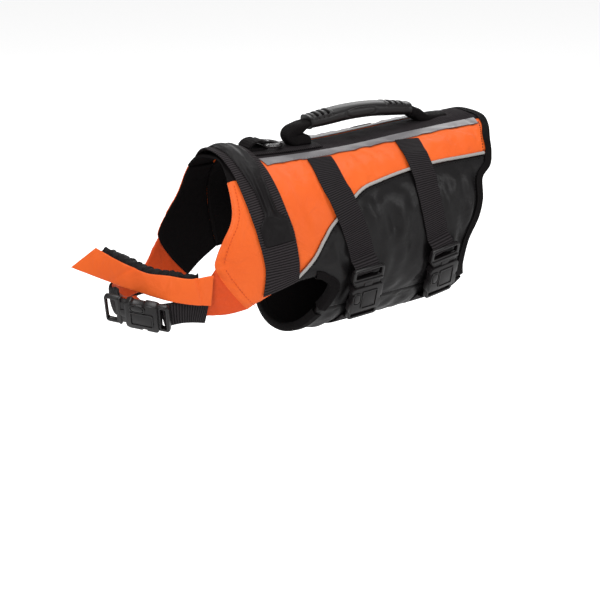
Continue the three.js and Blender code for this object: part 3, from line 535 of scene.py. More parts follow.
@dataclass
class Relief:
    """How far the foam stands over the plain form: crowned between seams, pressed under straps."""

    body: BodyForm
    pattern: Pattern
    crown: float = 2.1
    seam_depth: float = 2.3
    seam_reach: float = 3.4
    cell: float = 0.75
    first: tuple[float, float] = (-165.0, -6.0)
    last: tuple[float, float] = (156.0, 316.0)
    straight_seams: tuple[tuple[tuple[float, float], tuple[float, float]], ...] = (
        ((-127, SPINE_HALF), (143, SPINE_HALF)),
        ((-56, FLANK_LOW), (122, FLANK_LOW)),
        ((-58, FLANK_LOW), (-60, 320)),
        ((121, FLANK_LOW), (118, 320)),
    )

    def __post_init__(self) -> None:
        """Tabulates the height for both sides."""
        self.stations = np.arange(self.first[0], self.last[0], self.cell)
        self.arounds = np.arange(self.first[1], self.last[1], self.cell)
        self.tables = {
            Side.LEFT: self.table([Crease(*row) for row in LEFT_CREASES], 11),
            Side.RIGHT: self.table([Crease(*row) for row in RIGHT_CREASES], 23),
        }

    def distance(self, line: Array) -> Array:
        """Distance of every cell from a line of places."""
        s, a = np.meshgrid(self.stations, self.arounds, indexing="ij")
        near = np.full(s.shape, 1e9)
        for p, q in zip(line[:-1], line[1:]):
            span = q - p
            t = ((s - p[0]) * span[0] + (a - p[1]) * span[1]) / max(float(span @ span), 1e-9)
            t = np.clip(t, 0, 1)
            near = np.minimum(near, np.hypot(s - p[0] - t * span[0], a - p[1] - t * span[1]))
        return near

    def press_in(self, height: Array, crease: Crease) -> None:
        """Stamps a crease into the heights, fading towards its ends."""
        start, end = np.array(crease.start, float), np.array(crease.end, float)
        reach = 3 * crease.width
        low, high = np.minimum(start, end) - reach, np.maximum(start, end) + reach
        i = slice(*np.searchsorted(self.stations, [low[0], high[0]]))
        j = slice(*np.searchsorted(self.arounds, [low[1], high[1]]))
        s, a = np.meshgrid(self.stations[i], self.arounds[j], indexing="ij")
        span = end - start
        t = ((s - start[0]) * span[0] + (a - start[1]) * span[1]) / float(span @ span)
        bow = 0.08 * np.sin(math.pi * np.clip(t, 0, 1)) * np.linalg.norm(span)
        off = ((s - start[0]) * span[1] - (a - start[1]) * span[0]) / np.linalg.norm(span)
        past = np.maximum(np.maximum(-t, t - 1), 0) * np.linalg.norm(span)
        fade = smooth(1.15 - np.abs(2 * t - 1) ** 2 * 0.75)
        height[i, j] -= crease.depth * fade * np.exp(
            -((off - bow) ** 2 + past**2) / crease.width**2
        )

    def puckers(self, height: Array, line: Line, count: int, seed: int, long: float) -> None:
        """Small uneven gathers across a sewn line, on both sides of it."""
        rng = np.random.default_rng(seed)
        for t in (np.arange(count) + rng.uniform(0.15, 0.85, count)) / count:
            p, q = line(np.array([t, min(t + 0.01, 1.0)]))
            run = unit(q - p) if t < 0.99 else np.array([0.0, 1.0])
            aside = np.array([-run[1], run[0]]) * rng.choice([-1.0, 1.0])
            lean = run * rng.uniform(-0.5, 0.5)
            reach = long * rng.uniform(0.5, 1.2)
            self.press_in(
                height,
                Crease(
                    tuple(p + aside * 1.0),
                    tuple(p + unit(aside + lean) * reach),
                    rng.uniform(0.4, 0.95),
                    rng.uniform(1.5, 2.6),
                ),
            )

    def table(self, creases: Sequence[Crease], seed: int) -> Array:
        """Heights of one side.

        Args:
            creases: the side's listed creases.
            seed: what sets its uneven gathers apart from the other side's.

        Returns:
            A height for every cell.
        """
        cut, t = self.pattern, np.linspace(0, 1, 25)
        seams = [
            cut.front_seam(t), cut.piping(t), cut.rear(np.linspace(0, 1, 60)),
            cut.shoulder_front(t), cut.armhole(np.linspace(0, 1, 40)), cut.flap_top(t),
            cut.flap_low(t), cut.neck(t), cut.collar(t),
            *np.array(self.straight_seams, float),
        ]
        near = np.minimum.reduce([self.distance(seam) for seam in seams])
        height = self.crown * smooth((near - 3) / 21)
        s, a = np.meshgrid(self.stations, self.arounds, indexing="ij")
        front_cloth = smooth((-84 - s + (a - 150) * 0.2) / 12)
        height *= 1 - 0.45 * front_cloth
        height += 2.6 * smooth((s - 84) / 22) * smooth((23 - a) / 9) * smooth((141 - s) / 8)
        rng = np.random.default_rng(seed)
        for _ in range(8):
            long, turn = rng.uniform(11, 34), rng.uniform(-1.5, 1.5)
            bend = rng.uniform(1, 4) * np.sin((s + a) / rng.uniform(12, 26) + rng.uniform(0, 6))
            across = s * math.cos(turn) + a * math.sin(turn) + bend
            wave = np.sin(across / long * CLOTH_TURN + rng.uniform(0, 6))
            height += 0.0065 * long * wave * smooth((near - 3) / 8)
        flank = smooth((a - cut.piping(t)[:, 1].min() - 12) / 10) * smooth((s + 60) / 10)
        for _ in range(9):
            long, turn = rng.uniform(13, 44), rng.uniform(-0.75, 0.55)
            bend = rng.uniform(2, 6) * np.sin(a / rng.uniform(14, 30) + rng.uniform(0, 6))
            across = s * math.cos(turn) + a * math.sin(turn) + bend
            wave = np.sin(across / long * CLOTH_TURN + rng.uniform(0, 6))
            height += 0.0095 * long * wave * flank * smooth((near - 4) / 12)
        for crease in creases:
            self.press_in(height, crease)
        self.puckers(height, cut.piping, 26, seed + 1, 9)
        self.puckers(height, cut.withers, 14, seed + 2, 9)
        self.puckers(height, stretch_of(cut.shoulder_front, 0.6, 1.0), 12, seed + 3, 11)
        self.puckers(height, straight((-110, TAPE_LOW + 3), (136, TAPE_LOW + 3)), 26, seed + 4, 12)
        self.puckers(height, straight((-56, FLANK_LOW), (120, FLANK_LOW)), 16, seed + 5, 8)
        self.puckers(height, stretch_of(cut.rear, 0.2, 1.0), 20, seed + 6, 9)
        around = np.linspace(30, 300, 28)
        girths = [np.stack([girth.station(around), around], axis=1) for girth in GIRTHS]
        withers = SeamLine(WITHERS_LINE)(np.linspace(0, 1, 24))
        chest = SeamLine(CHEST_LINE)(np.linspace(0, 1, 12))
        straps = [(girth, 13.0, 9, 0.15) for girth in girths]
        for line, half, fade, cap in (*straps, (withers, 17.5, 6, 0.1), (chest, 13, 5, 0.1)):
            press = smooth(1 - (self.distance(line) - half) / fade)
            height = height * (1 - press) + np.minimum(height, cap) * press
        bound = [
            cut.rear(np.linspace(0, 1, 60)), cut.armhole(np.linspace(0, 1, 40)),
            seams[-1], seams[-2],
        ]
        edge = np.minimum.reduce([self.distance(seam) for seam in bound])
        press = smooth(1 - (edge - 7.5) / 6)
        height = height * (1 - press) + np.clip(height, -0.6, 0.2) * press
        return height - self.seam_depth * np.clip(1 - near / self.seam_reach, 0, 1) ** 2

    def at(self, places: Array) -> Array:
        """Height of the cloth at places of either side."""
        station, around = places[..., 0], places[..., 1]
        girth = self.body.half_girth(station)
        left = around >= 0
        distance = np.abs(around)
        over = distance > girth
        distance = np.where(over, 2 * girth - distance, distance)
        left = np.where(over, ~left, left)
        i = np.clip((station - self.first[0]) / self.cell, 0, len(self.stations) - 1.01)
        j = np.clip((distance - self.first[1]) / self.cell, 0, len(self.arounds) - 1.01)
        found = []
        for side in Side:
            table = self.tables[side]
            p, q = i.astype(int), j.astype(int)
            f, g = i - p, j - q
            low = table[p, q] * (1 - g) + table[p, q + 1] * g
            high = table[p + 1, q] * (1 - g) + table[p + 1, q + 1] * g
            found.append(low * (1 - f) + high * f)
        middle = np.clip(0.5 + np.where(left, distance, -distance) / 12, 0, 1)
        blend = np.where(distance < 6, middle, np.where(left, 1.0, 0.0))
        return found[0] * blend + found[1] * (1 - blend)


# Finishes


class Nodes:
    """Adds nodes to a material or group and joins them."""

    def __init__(self, tree: bpy.types.NodeTree) -> None:
        """Keeps the tree that is being built."""
        self.tree = tree

    def add(self, kind: str, settings: Optional[dict] = None, **inputs: object) -> bpy.types.Node:
        """Adds a node.

        Args:
            kind: the node's type.
            settings: its properties.
            **inputs: values or output sockets by input name, with _ for a space, or by i and the
                input's number.

        Returns:
            The node.
        """
        made = self.tree.nodes.new(kind)
        for key, value in (settings or {}).items():
            setattr(made, key, value)
        for key, value in inputs.items():
            name = key.replace("_", " ")
            numbered = key[0] == "i" and key[1:].isdigit()
            socket = made.inputs[int(key[1:]) if numbered else name]
            if isinstance(value, bpy.types.NodeSocket):
                self.tree.links.new(value, socket)
            else:
                socket.default_value = value
        return made

    def math(self, operation: str, *values: object) -> bpy.types.NodeSocket:
        """A math node's result."""
        inputs = {f"i{k}": value for k, value in enumerate(values)}
        return self.add("ShaderNodeMath", {"operation": operation}, **inputs).outputs[0]


def group_of(
    name: str, inputs: dict[str, float], outputs: Sequence[str]
) -> tuple[Nodes, bpy.types.Node, bpy.types.Node]:
    """Starts a shader node group that takes a vector and numbers and puts out values.

    Args:
        name: the group's name.
        inputs: its number inputs and their defaults.
        outputs: the names of its outputs.

    Returns:
        The nodes, the group's input node and its output node.
    """
    tree = bpy.data.node_groups.new(name, "ShaderNodeTree")
    tree.interface.new_socket("Vector", in_out="INPUT", socket_type="NodeSocketVector")
    for key, value in inputs.items():
        socket = tree.interface.new_socket(key, in_out="INPUT", socket_type="NodeSocketFloat")
        socket.default_value = value
    for key in outputs:
        tree.interface.new_socket(key, in_out="OUTPUT", socket_type="NodeSocketFloat")
    nodes = Nodes(tree)
    return nodes, nodes.add("NodeGroupInput"), nodes.add("NodeGroupOutput")


class Patterns:
    """The surface patterns that several finishes share, each a node group built once."""

    def __init__(self) -> None:
        """Builds the groups."""
        self.weave = self.plain_weave()
        self.ribs = self.webbing_ribs()
        self.blotch = self.soft_blotch()
        self.mesh = self.knitted_mesh()

    def plain_weave(self) -> bpy.types.NodeTree:
        """Over and under threads of a plain weave, on a vector in millimetres."""
        n, taken, given = group_of("plain_weave", {"Thread": 0.8}, ("Height",))
        xyz = n.add("ShaderNodeSeparateXYZ", Vector=taken.outputs["Vector"])
        turn = n.math("DIVIDE", math.pi, taken.outputs["Thread"])
        across = n.math("SINE", n.math("MULTIPLY", xyz.outputs["X"], turn))
        along = n.math("SINE", n.math("MULTIPLY", xyz.outputs["Y"], turn))
        over = n.math("MULTIPLY", across, along)
        n.tree.links.new(n.math("MULTIPLY_ADD", over, 0.5, 0.5), given.inputs["Height"])
        return n.tree

    def webbing_ribs(self) -> bpy.types.NodeTree:
        """Cross ribs of webbing that step like scales over its warp threads."""
        n, taken, given = group_of(
            "webbing_ribs", {"Rib": 1.9, "Warp": 4.2, "Step": 0.025}, ("Height",)
        )
        xyz = n.add("ShaderNodeSeparateXYZ", Vector=taken.outputs["Vector"])
        rib = n.math("DIVIDE", xyz.outputs["X"], taken.outputs["Rib"])
        warp = n.math("DIVIDE", xyz.outputs["Y"], taken.outputs["Warp"])
        warp = n.math("MULTIPLY", warp, RIB_TURN)
        wave = n.math("MULTIPLY", n.math("SINE", warp), taken.outputs["Step"])
        turn = n.math("MULTIPLY", n.math("ADD", rib, wave), RIB_TURN)
        height = n.math("POWER", n.math("MULTIPLY_ADD", n.math("SINE", turn), 0.5, 0.5), 0.7)
        thread = n.math("ABSOLUTE", n.math("SINE", n.math("MULTIPLY", warp, 2.0)))
        both = n.math("MULTIPLY", height, n.math("MULTIPLY_ADD", thread, 0.35, 0.65))
        n.tree.links.new(both, given.inputs["Height"])
        return n.tree

    def soft_blotch(self) -> bpy.types.NodeTree:
        """Slow uneven colour, with a finer part for handling and dust."""
        n, taken, given = group_of("soft_blotch", {"Scale": 14.0}, ("Value", "Fine"))
        wide = n.add(
            "ShaderNodeTexNoise", Vector=taken.outputs["Vector"], Scale=taken.outputs["Scale"],
            Detail=3.0, Roughness=0.55,
        )
        fine = n.add("ShaderNodeTexNoise", Vector=taken.outputs["Vector"], Scale=900.0, Detail=2.0)
        n.tree.links.new(wide.outputs["Fac"], given.inputs["Value"])
        n.tree.links.new(fine.outputs["Fac"], given.inputs["Fine"])
        return n.tree

    def knitted_mesh(self) -> bpy.types.NodeTree:
        """Rows of small open cells, as spacer mesh has, on a vector in millimetres."""
        n, taken, given = group_of("knitted_mesh", {"Cell": 2.2}, ("Height",))
        scale = n.math("DIVIDE", 1.0, taken.outputs["Cell"])
        spread = n.add("ShaderNodeVectorMath", {"operation": "SCALE"}, i0=taken.outputs["Vector"])
        n.tree.links.new(scale, spread.inputs["Scale"])
        cells = n.add(
            "ShaderNodeTexVoronoi", {"feature": "F1"}, Vector=spread.outputs[0], Scale=1.0,
            Randomness=0.15,
        )
        n.tree.links.new(n.math("MULTIPLY", cells.outputs["Distance"], 1.6), given.inputs["Height"])
        return n.tree


def colour(hex_code: str) -> tuple[float, float, float, float]:
    """A screen colour as the linear colour that a shader takes."""
    parts = [int(hex_code[k : k + 2], 16) / 255 for k in (0, 2, 4)]
    linear = [c / 12.92 if c <= 0.04045 else ((c + 0.055) / 1.055) ** 2.4 for c in parts]
    return (*linear, 1.0)


class Weave(Enum):
    """The pattern that a cloth is made in."""

    PLAIN = "plain"
    RIBBED = "ribbed"
    MESH = "mesh"


@dataclass(frozen=True)
class ClothFinish:
    """A cloth, webbing or tape, whose pattern follows the piece's own UV map in millimetres."""

    name: str
    slot: str
    light: str
    dark: str
    roughness: float = 0.75
    sheen: float = 0.1
    specular: float = 0.25
    weave: Weave = Weave.PLAIN
    thread: float = 0.9
    depth: float = 0.12
    crumple: float = 0.35
    crumple_scale: float = 55.0
    # Share of the colour set by the pattern's height: painted shade in its grooves, over a random
    # tone.
    groove_shade: float = 0.25

    def material(self, patterns: Patterns) -> bpy.types.Material:
        """Builds the finish.

        Args:
            patterns: the shared node groups.

        Returns:
            The material.
        """
        made = bpy.data.materials.new(self.name)
        made.use_nodes = True
        made.node_tree.nodes.clear()
        n = Nodes(made.node_tree)
        spot = n.add("ShaderNodeTexCoord")
        blotch = n.add(
            "ShaderNodeGroup", {"node_tree": patterns.blotch}, Vector=spot.outputs["Object"],
            Scale=16.0,
        )
        height = self.pattern(n, patterns, spot)
        # Colour from a random tone and the pattern's height: painted shade in the grooves between
        # threads and ribs and in the mesh's open cells.
        tone = n.math("MULTIPLY_ADD", blotch.outputs["Value"], 1.0 - self.groove_shade, 0.0)
        tone = n.math("MULTIPLY_ADD", height, self.groove_shade, tone)
        tint = n.add(
            "ShaderNodeMix", {"data_type": "RGBA"}, i0=tone, i6=colour(self.dark),
            i7=colour(self.light),
        )
        rough = n.math("MULTIPLY_ADD", blotch.outputs["Fine"], 0.18, self.roughness - 0.09)
        crumple = n.add(
            "ShaderNodeTexNoise", Vector=spot.outputs["Object"], Scale=self.crumple_scale,
            Detail=4.0, Roughness=0.5, Distortion=0.6,
        )
        broad = n.add(
            "ShaderNodeBump", Strength=self.crumple, Distance=0.004, Height=crumple.outputs["Fac"]
        )
        fine = n.add(
            "ShaderNodeBump", Strength=0.8, Distance=self.depth * MM, Height=height,
            Normal=broad.outputs["Normal"],
        )
        shader = n.add(
            "ShaderNodeBsdfPrincipled", Base_Color=tint.outputs[2], Roughness=rough,
            Sheen_Weight=self.sheen, Sheen_Roughness=0.45, Specular_IOR_Level=self.specular,
            Normal=fine.outputs["Normal"],
        )
        n.add("ShaderNodeOutputMaterial", Surface=shader.outputs[0])
        return made

    def pattern(self, n: Nodes, patterns: Patterns, spot: bpy.types.Node) -> bpy.types.NodeSocket:
        """The height of the threads."""
        tree, size = {
            Weave.PLAIN: (patterns.weave, "Thread"),
            Weave.RIBBED: (patterns.ribs, "Rib"),
            Weave.MESH: (patterns.mesh, "Cell"),
        }[self.weave]
        inputs = {"Vector": spot.outputs["UV"], size: self.thread}
        return n.add("ShaderNodeGroup", {"node_tree": tree}, **inputs).outputs["Height"]


@dataclass(frozen=True)
class MouldedFinish:
    """A moulded or coated hard surface, with a fine grain and a slightly uneven tone."""

    name: str
    slot: str
    light: str
    dark: str
    roughness: float = 0.42
    grain: float = 0.05
    coat: float = 0.0
    metallic: float = 0.0
    specular: float = 0.22

    def material(self, patterns: Patterns) -> bpy.types.Material:
        """Builds the finish.

        Args:
            patterns: the shared node groups.

        Returns:
            The material.
        """
        made = bpy.data.materials.new(self.name)
        made.use_nodes = True
        made.node_tree.nodes.clear()
        n = Nodes(made.node_tree)
        spot = n.add("ShaderNodeTexCoord")
        blotch = n.add(
            "ShaderNodeGroup", {"node_tree": patterns.blotch}, Vector=spot.outputs["Object"],
            Scale=60.0,
        )
        tint = n.add(
            "ShaderNodeMix", {"data_type": "RGBA"}, i0=blotch.outputs["Value"],
            i6=colour(self.dark), i7=colour(self.light),
        )
        rough = n.math("MULTIPLY_ADD", blotch.outputs["Value"], 0.2, self.roughness - 0.1)
        grain = n.add("ShaderNodeTexNoise", Vector=spot.outputs["Object"], Scale=2600.0, Detail=2.0)
        bump = n.add(
            "ShaderNodeBump", Strength=0.6, Distance=self.grain * MM, Height=grain.outputs["Fac"]
        )
        shader = n.add(
            "ShaderNodeBsdfPrincipled", Base_Color=tint.outputs[2], Roughness=rough,
            Metallic=self.metallic, Coat_Weight=self.coat, Coat_Roughness=0.2,
            Specular_IOR_Level=self.specular, Normal=bump.outputs["Normal"],
        )
        n.add("ShaderNodeOutputMaterial", Surface=shader.outputs[0])
        return made


Finish = ClothFinish | MouldedFinish

ORANGE = ClothFinish(
    "orange_cloth", "orange_cloth", "ec6a21", "d95216", roughness=0.55, sheen=0.03, specular=0.28,
    crumple=0.7, crumple_scale=42, thread=0.7, depth=0.05, groove_shade=0.12,
)
# A darker copy of the orange cloth for the chest flaps: painted shade of the chest below the chin
# band.
SHADED_ORANGE = ClothFinish(
    "deep_orange_cloth", "deep_orange_cloth", "da4e19", "c24013", roughness=0.62, sheen=0.03,
    specular=0.22, crumple=0.7, crumple_scale=42, thread=0.7, depth=0.05, groove_shade=0.12,
)
LINING = ClothFinish(
    "black_lining", "lining_cloth", "131011", "0b0909", roughness=0.9, sheen=0.0, specular=0.08,
    crumple=0.3, thread=0.9,
)
SATIN = ClothFinish(
    "black_nylon", "flank_cloth", "110f10", "090708", roughness=0.44, sheen=0.0, specular=0.24,
    crumple=0.6, crumple_scale=24, thread=0.7, depth=0.04, groove_shade=0.12,
)
MESH = ClothFinish(
    "black_mesh", "mesh_cloth", "353133", "060505", roughness=0.85, sheen=0.0, specular=0.06,
    weave=Weave.MESH, thread=2.4, depth=0.5, crumple=0.2, groove_shade=0.6,
)
BINDING = ClothFinish(
    "black_binding", "binding_tape", "141112", "090808", roughness=0.8, sheen=0.0, specular=0.08,
    weave=Weave.RIBBED, thread=1.1, depth=0.25, crumple=0.3, groove_shade=0.4,
)
RIBBED = ClothFinish(
    "ribbed_webbing", "ribbed_webbing", "353133", "060505", roughness=0.7, sheen=0.0,
    specular=0.08, weave=Weave.RIBBED, thread=2.2, depth=0.8, crumple=0.08, groove_shade=0.95,
)
WIDE_RIBBED = ClothFinish(
    "wide_ribbed_webbing", "ribbed_webbing", "3c3739", "070606", roughness=0.7, sheen=0.0,
    specular=0.08, weave=Weave.RIBBED, thread=2.5, depth=0.9, crumple=0.08, groove_shade=0.95,
)
SMOOTH_STRIP = ClothFinish(
    "smooth_strip", "smooth_webbing", "161314", "0c0a0b", roughness=0.5, sheen=0.0, specular=0.14,
    thread=0.8, depth=0.06, crumple=0.4, crumple_scale=60, groove_shade=0.15,
)
TAPE = ClothFinish(
    "reflective_tape", "reflective_tape", "757375", "686668", roughness=0.42, sheen=0.0,
    specular=0.4, thread=1.4, depth=0.04, crumple=0.15, crumple_scale=50, groove_shade=0.2,
)
PIPING = ClothFinish(
    "grey_piping", "piping", "a8a5a2", "8a8785", roughness=0.5, sheen=0.03, specular=0.4,
    thread=1.2, depth=0.08, crumple=0.1, groove_shade=0.3,
)
PLASTIC = MouldedFinish(
    "buckle_plastic", "buckle_plastic", "171415", "0d0b0c", roughness=0.32, specular=0.3,
)
RUBBER = MouldedFinish(
    "grip_rubber", "grip_rubber", "181516", "0e0c0d", roughness=0.4, grain=0.08, specular=0.3,
)
COATED = MouldedFinish(
    "ring_coating", "ring_coating", "2a2728", "1a1819", roughness=0.24, grain=0.03, coat=0.6,
    metallic=0.2, specular=0.8,
)
BLACK_THREAD = ClothFinish(
    "black_thread", "binding_tape", "1a1718", "0e0c0d", roughness=0.75, specular=0.08, thread=0.4,
)
ORANGE_THREAD = ClothFinish(
    "orange_thread", "orange_cloth", "d9501a", "bb420e", roughness=0.7, thread=0.4,
)
LINING_PAD = ClothFinish(
    "black_pad_cloth", "lining_cloth", "191617", "0d0b0c", roughness=0.6, sheen=0.0,
    specular=0.14, thread=0.9, depth=0.05, crumple=0.7, crumple_scale=70, groove_shade=0.0,
)
CORE = ClothFinish(
    "handle_webbing", "ribbed_webbing", "1a1718", "090808", roughness=0.75, sheen=0.0,
    specular=0.08, weave=Weave.RIBBED, thread=1.6, depth=0.3, crumple=0.5, crumple_scale=90,
    groove_shade=0.4,
)


# Making meshes


def span_of(surface: Surface) -> tuple[float, float]:
    """Mean length in u and mean width in w of a surface, in millimetres."""
    u, w = np.meshgrid(np.linspace(0, 1, 161), np.linspace(0, 1, 81), indexing="ij")
    points = surface(u.ravel(), w.ravel()).reshape(161, 81, 3)
    along = np.linalg.norm(np.diff(points, axis=0), axis=-1).sum(0).mean()
    across = np.linalg.norm(np.diff(points, axis=1), axis=-1).sum(1).mean()
    return float(along), float(across)


def object_of(name: str, bm: bmesh.types.BMesh) -> bpy.types.Object:
    """A new object of the scene with a mesh, which is freed."""
    mesh = bpy.data.meshes.new(name)
    bm.to_mesh(mesh)
    bm.free()
    made = bpy.data.objects.new(name, mesh)
    bpy.context.scene.collection.objects.link(made)
    return made


class Workshop:
    """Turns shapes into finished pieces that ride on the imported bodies."""

    def __init__(self) -> None:
        """Starts with the shared patterns and no materials."""
        self.patterns = Patterns()
        self.materials: dict[str, bpy.types.Material] = {}
        self.sizes: dict[str, tuple[float, float]] = {}

    def material(self, finish: Finish) -> bpy.types.Material:
        """The material of a finish, built once."""
        if finish.name not in self.materials:
            self.materials[finish.name] = finish.material(self.patterns)
        return self.materials[finish.name]

    def piece(
        self,
        name: str,
        bm: bmesh.types.BMesh,
        finishes: Sequence[Finish],
        node: Optional[str] = None,
        body: str = "jacket",
        sharp: float = 50.0,
    ) -> bpy.types.Object:
        """Makes a mesh, in millimetres, into a piece of the jacket.

        Args:
            name: the piece's name.
            bm: its mesh, which is freed.
            finishes: one finish for each material number.
            node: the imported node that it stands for.
            body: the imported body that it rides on.
            sharp: the angle past which an edge is shaded sharp, in degrees.

        Returns:
            The piece.
        """
        for edge in bm.edges:
            if len(edge.link_faces) == 2 and edge.calc_face_angle(0.0) > math.radians(sharp):
                edge.smooth = False
        for face in bm.faces:
            face.smooth = True
        bmesh.ops.scale(bm, vec=(MM, MM, MM), verts=bm.verts)
        return self.enter(object_of(name, bm), finishes, node, body)

    def enter(
        self,
        made: bpy.types.Object,
        finishes: Sequence[Finish],
        node: Optional[str],
        body: str = "jacket",
    ) -> bpy.types.Object:
        """Gives a piece its finishes and its body, and hides the node that it stands for."""
        for finish in finishes:
            made.data.materials.append(self.material(finish))
        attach(made, body)
        if node:
            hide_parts(node)
        LOG.info("%s: %d faces", made.name, len(made.data.polygons))
        return made

    def grid(self, columns: int, rows: int) -> tuple[bmesh.types.BMesh, Array, Array]:
        """A flat grid with its vertices' shares u and w from 0 to 1."""
        bm = bmesh.new()
        bmesh.ops.create_grid(bm, x_segments=columns, y_segments=rows, size=0.5)
        co = np.array([v.co for v in bm.verts])
        return bm, np.clip(co[:, 0] + 0.5, 0, 1), np.clip(co[:, 1] + 0.5, 0, 1)

    def shell(
        self,
        name: str,
        columns: int,
        rows: int,
        outer: Surface,
        inner: Surface,
        finishes: Sequence[Finish],
        node: Optional[str] = None,
        body: str = "jacket",
        warp: Callable[[Array], Array] = crowded,
        sharp: float = 50.0,
    ) -> bpy.types.Object:
        """A closed wall between an outer and an inner surface, with its true size in its UV map.

        Args:
            name: the piece's name.
            columns: its steps in u.
            rows: its steps in w.
            outer: points of its outer face by u and w.
            inner: points of its inner face.
            finishes: its finish, and its lining's if that differs.
            node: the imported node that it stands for.
            body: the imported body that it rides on.
            warp: how its steps crowd towards its edges.
            sharp: the angle past which an edge is shaded sharp.

        Returns:
            The piece.
        """
        size = span_of(outer)
        bm, u, w = self.grid(columns, rows)
        us, ws, depth = (bm.verts.layers.float.new(word) for word in ("u", "w", "depth"))
        for vert, a, b in zip(bm.verts, warp(u), warp(w)):
            vert[us], vert[ws] = a, b
        first = list(bm.verts)
        made = bmesh.ops.extrude_face_region(bm, geom=list(bm.faces))
        second = [v for v in made["geom"] if isinstance(v, bmesh.types.BMVert)]
        for vert in second:
            vert[depth] = 1.0
        for verts, surface in ((first, outer), (second, inner)):
            a = np.array([v[us] for v in verts])
            b = np.array([v[ws] for v in verts])
            for vert, point in zip(verts, surface(a, b)):
                vert.co = point
        rim = [e for e in bm.edges if e.verts[0][depth] != e.verts[1][depth]]
        bmesh.ops.subdivide_edges(bm, edges=rim, cuts=1)
        flat = bm.loops.layers.uv.new("flat")
        for face in bm.faces:
            if max(v[depth] for v in face.verts) > 0.75:
                face.material_index = len(finishes) - 1
            for loop in face.loops:
                loop[flat].uv = (loop.vert[us] * size[0], loop.vert[ws] * size[1])
        bmesh.ops.recalc_face_normals(bm, faces=bm.faces)
        self.sizes[name] = size
        return self.piece(name, bm, finishes, node, body, sharp)

    def sheet(self, piece: bpy.types.Object, held: Held, on: Sequence[str]) -> None:
        """Looks up a shell's length and width, and does nothing more with them.

        Args:
            piece: the shell.
            held: not used.
            on: not used.
        """
        long, wide = self.sizes[piece.name]

    def tube(
        self,
        name: str,
        steps: int,
        sides: int,
        ring: Callable[[Array, Array], Array],
        size: tuple[float, float],
        finish: Finish,
        node: Optional[str] = None,
        body: str = "jacket",
        closed: bool = False,
        sharp: float = 50.0,
    ) -> bpy.types.Object:
        """A solid swept along a line.

        Args:
            name: the piece's name.
            steps: its steps along the line.
            sides: its steps around.
            ring: points by the share along and the share around.
            size: its length and girth in millimetres.
            finish: its finish.
            node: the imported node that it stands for.
            body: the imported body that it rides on.
            closed: whether the line returns to its start.
            sharp: the angle past which an edge is shaded sharp.

        Returns:
            The piece.
        """
        bm, u, w = self.grid(steps, sides)
        flat = bm.loops.layers.uv.new("flat")
        shares = {v: (a, b) for v, a, b in zip(bm.verts, u, w)}
        for face in bm.faces:
            for loop in face.loops:
                a, b = shares[loop.vert]
                loop[flat].uv = (a * size[0], b * size[1])
        for vert, point in zip(bm.verts, ring(u, w)):
            vert.co = point
        bmesh.ops.remove_doubles(bm, verts=bm.verts, dist=0.002)
        if not closed:
            rims = [e for e in bm.edges if e.is_boundary]
            bmesh.ops.holes_fill(bm, edges=rims, sides=0)
        bmesh.ops.recalc_face_normals(bm, faces=bm.faces)
        return self.piece(name, bm, [finish], node, body, sharp)


# The padded saddle and front


@dataclass
class Panels:
    """The cut panels: foam in the saddle, thinner foam in the front, plain cloth at the nape."""

    shop: Workshop
    body: BodyForm
    cut: Pattern
    relief: Relief
    fill: float = 0.7

    def panel(
        self,
        name: str,
        patch: Surface,
        columns: int,
        rows: int,
        thick: float,
        finish: Finish,
        inside: Finish = LINING,
    ) -> bpy.types.Object:
        """A foam panel with its cloth crowned between its seams, lined on the inside.

        Args:
            name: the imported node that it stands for.
            patch: its places on the cloth.
            columns: its steps to the rear.
            rows: its steps down.
            thick: its thickness at the seams.
            finish: its outer cloth.
            inside: its inner cloth.

        Returns:
            The piece.
        """
        piece = cut_piece(patch)
        half = np.array([0.5, 0.5])
        ends = np.array([0.0, 1.0])
        length = float(np.linalg.norm(np.diff(piece(ends, half), axis=0)))
        width = float(np.linalg.norm(np.diff(piece(half, ends), axis=0)))

        def outer(u: Array, w: Array) -> Array:
            """The crowned face."""
            places = piece(u, w)
            return self.body.lifted(places, self.relief.at(places))

        def inner(u: Array, w: Array) -> Array:
            """The lining, drawn in a little at the seams."""
            places = piece(u, w)
            near = np.minimum(np.minimum(u, 1 - u) * length, np.minimum(w, 1 - w) * width)
            return self.body.lifted(places, -thick + 1.0 * np.clip(1 - near / 2.5, 0, 1) ** 2)

        made = self.shop.shell(
            f"{name}_cloth", columns, rows, outer, inner, [finish, inside], name
        )
        return made

    def build(self) -> None:
        """Makes every panel."""
        self.panel("spine_panel", self.cut.spine, 150, 44, FOAM, MESH)
        self.panel("belly_panel", self.cut.belly, 110, 120, BELLY_FOAM, SATIN)
        for side in Side:
            turn = np.array([1.0, side.value])
            word = side.word
            self.panel(
                f"side_panel_{word}", lambda u, w: self.cut.side(u, w) * turn, 170, 70, FOAM, ORANGE
            )
            self.panel(
                f"flank_panel_{word}", lambda u, w: self.cut.flank(u, w) * turn, 150, 110,
                FOAM, SATIN,
            )
            self.panel(
                f"shoulder_panel_{word}", lambda u, w: self.cut.shoulder(u, w) * turn, 44, 110,
                FLAP_FOAM, ORANGE,
            )
        for name, patch in (("left", self.cut.flap), ("right", self.cut.right_flap)):
            # The chest flaps take the darker orange copy: painted shade below the chin band.
            self.panel(f"chest_flap_{name}", patch, 90, 44, FLAP_FOAM, SHADED_ORANGE, SHADED_ORANGE)
        self.nape()

    def nape(self) -> None:
        """The soft lining piece around the back of the neck, laid over its form."""
        piece = cut_piece(self.cut.nape)

        def face(sink: float, u: Array, w: Array) -> Array:
            """Points of the face, with shallow folds towards the neck edge."""
            places = piece(u, w)
            fold = 0.5 * np.sin(places[..., 1] / 6.5 + 1.2 * u) * (1 - u) ** 1.5
            return self.body.lifted(places, fold - sink)

        made = self.shop.shell(
            "nape_collar_cloth", 24, 90, partial(face, 0.5), partial(face, COLLAR_THICK - 0.2),
            [LINING], "nape_collar",
        )
        self.shop.sheet(made, Held.LAID, ["spine_panel_cloth"])


# Tape, piping and bindings


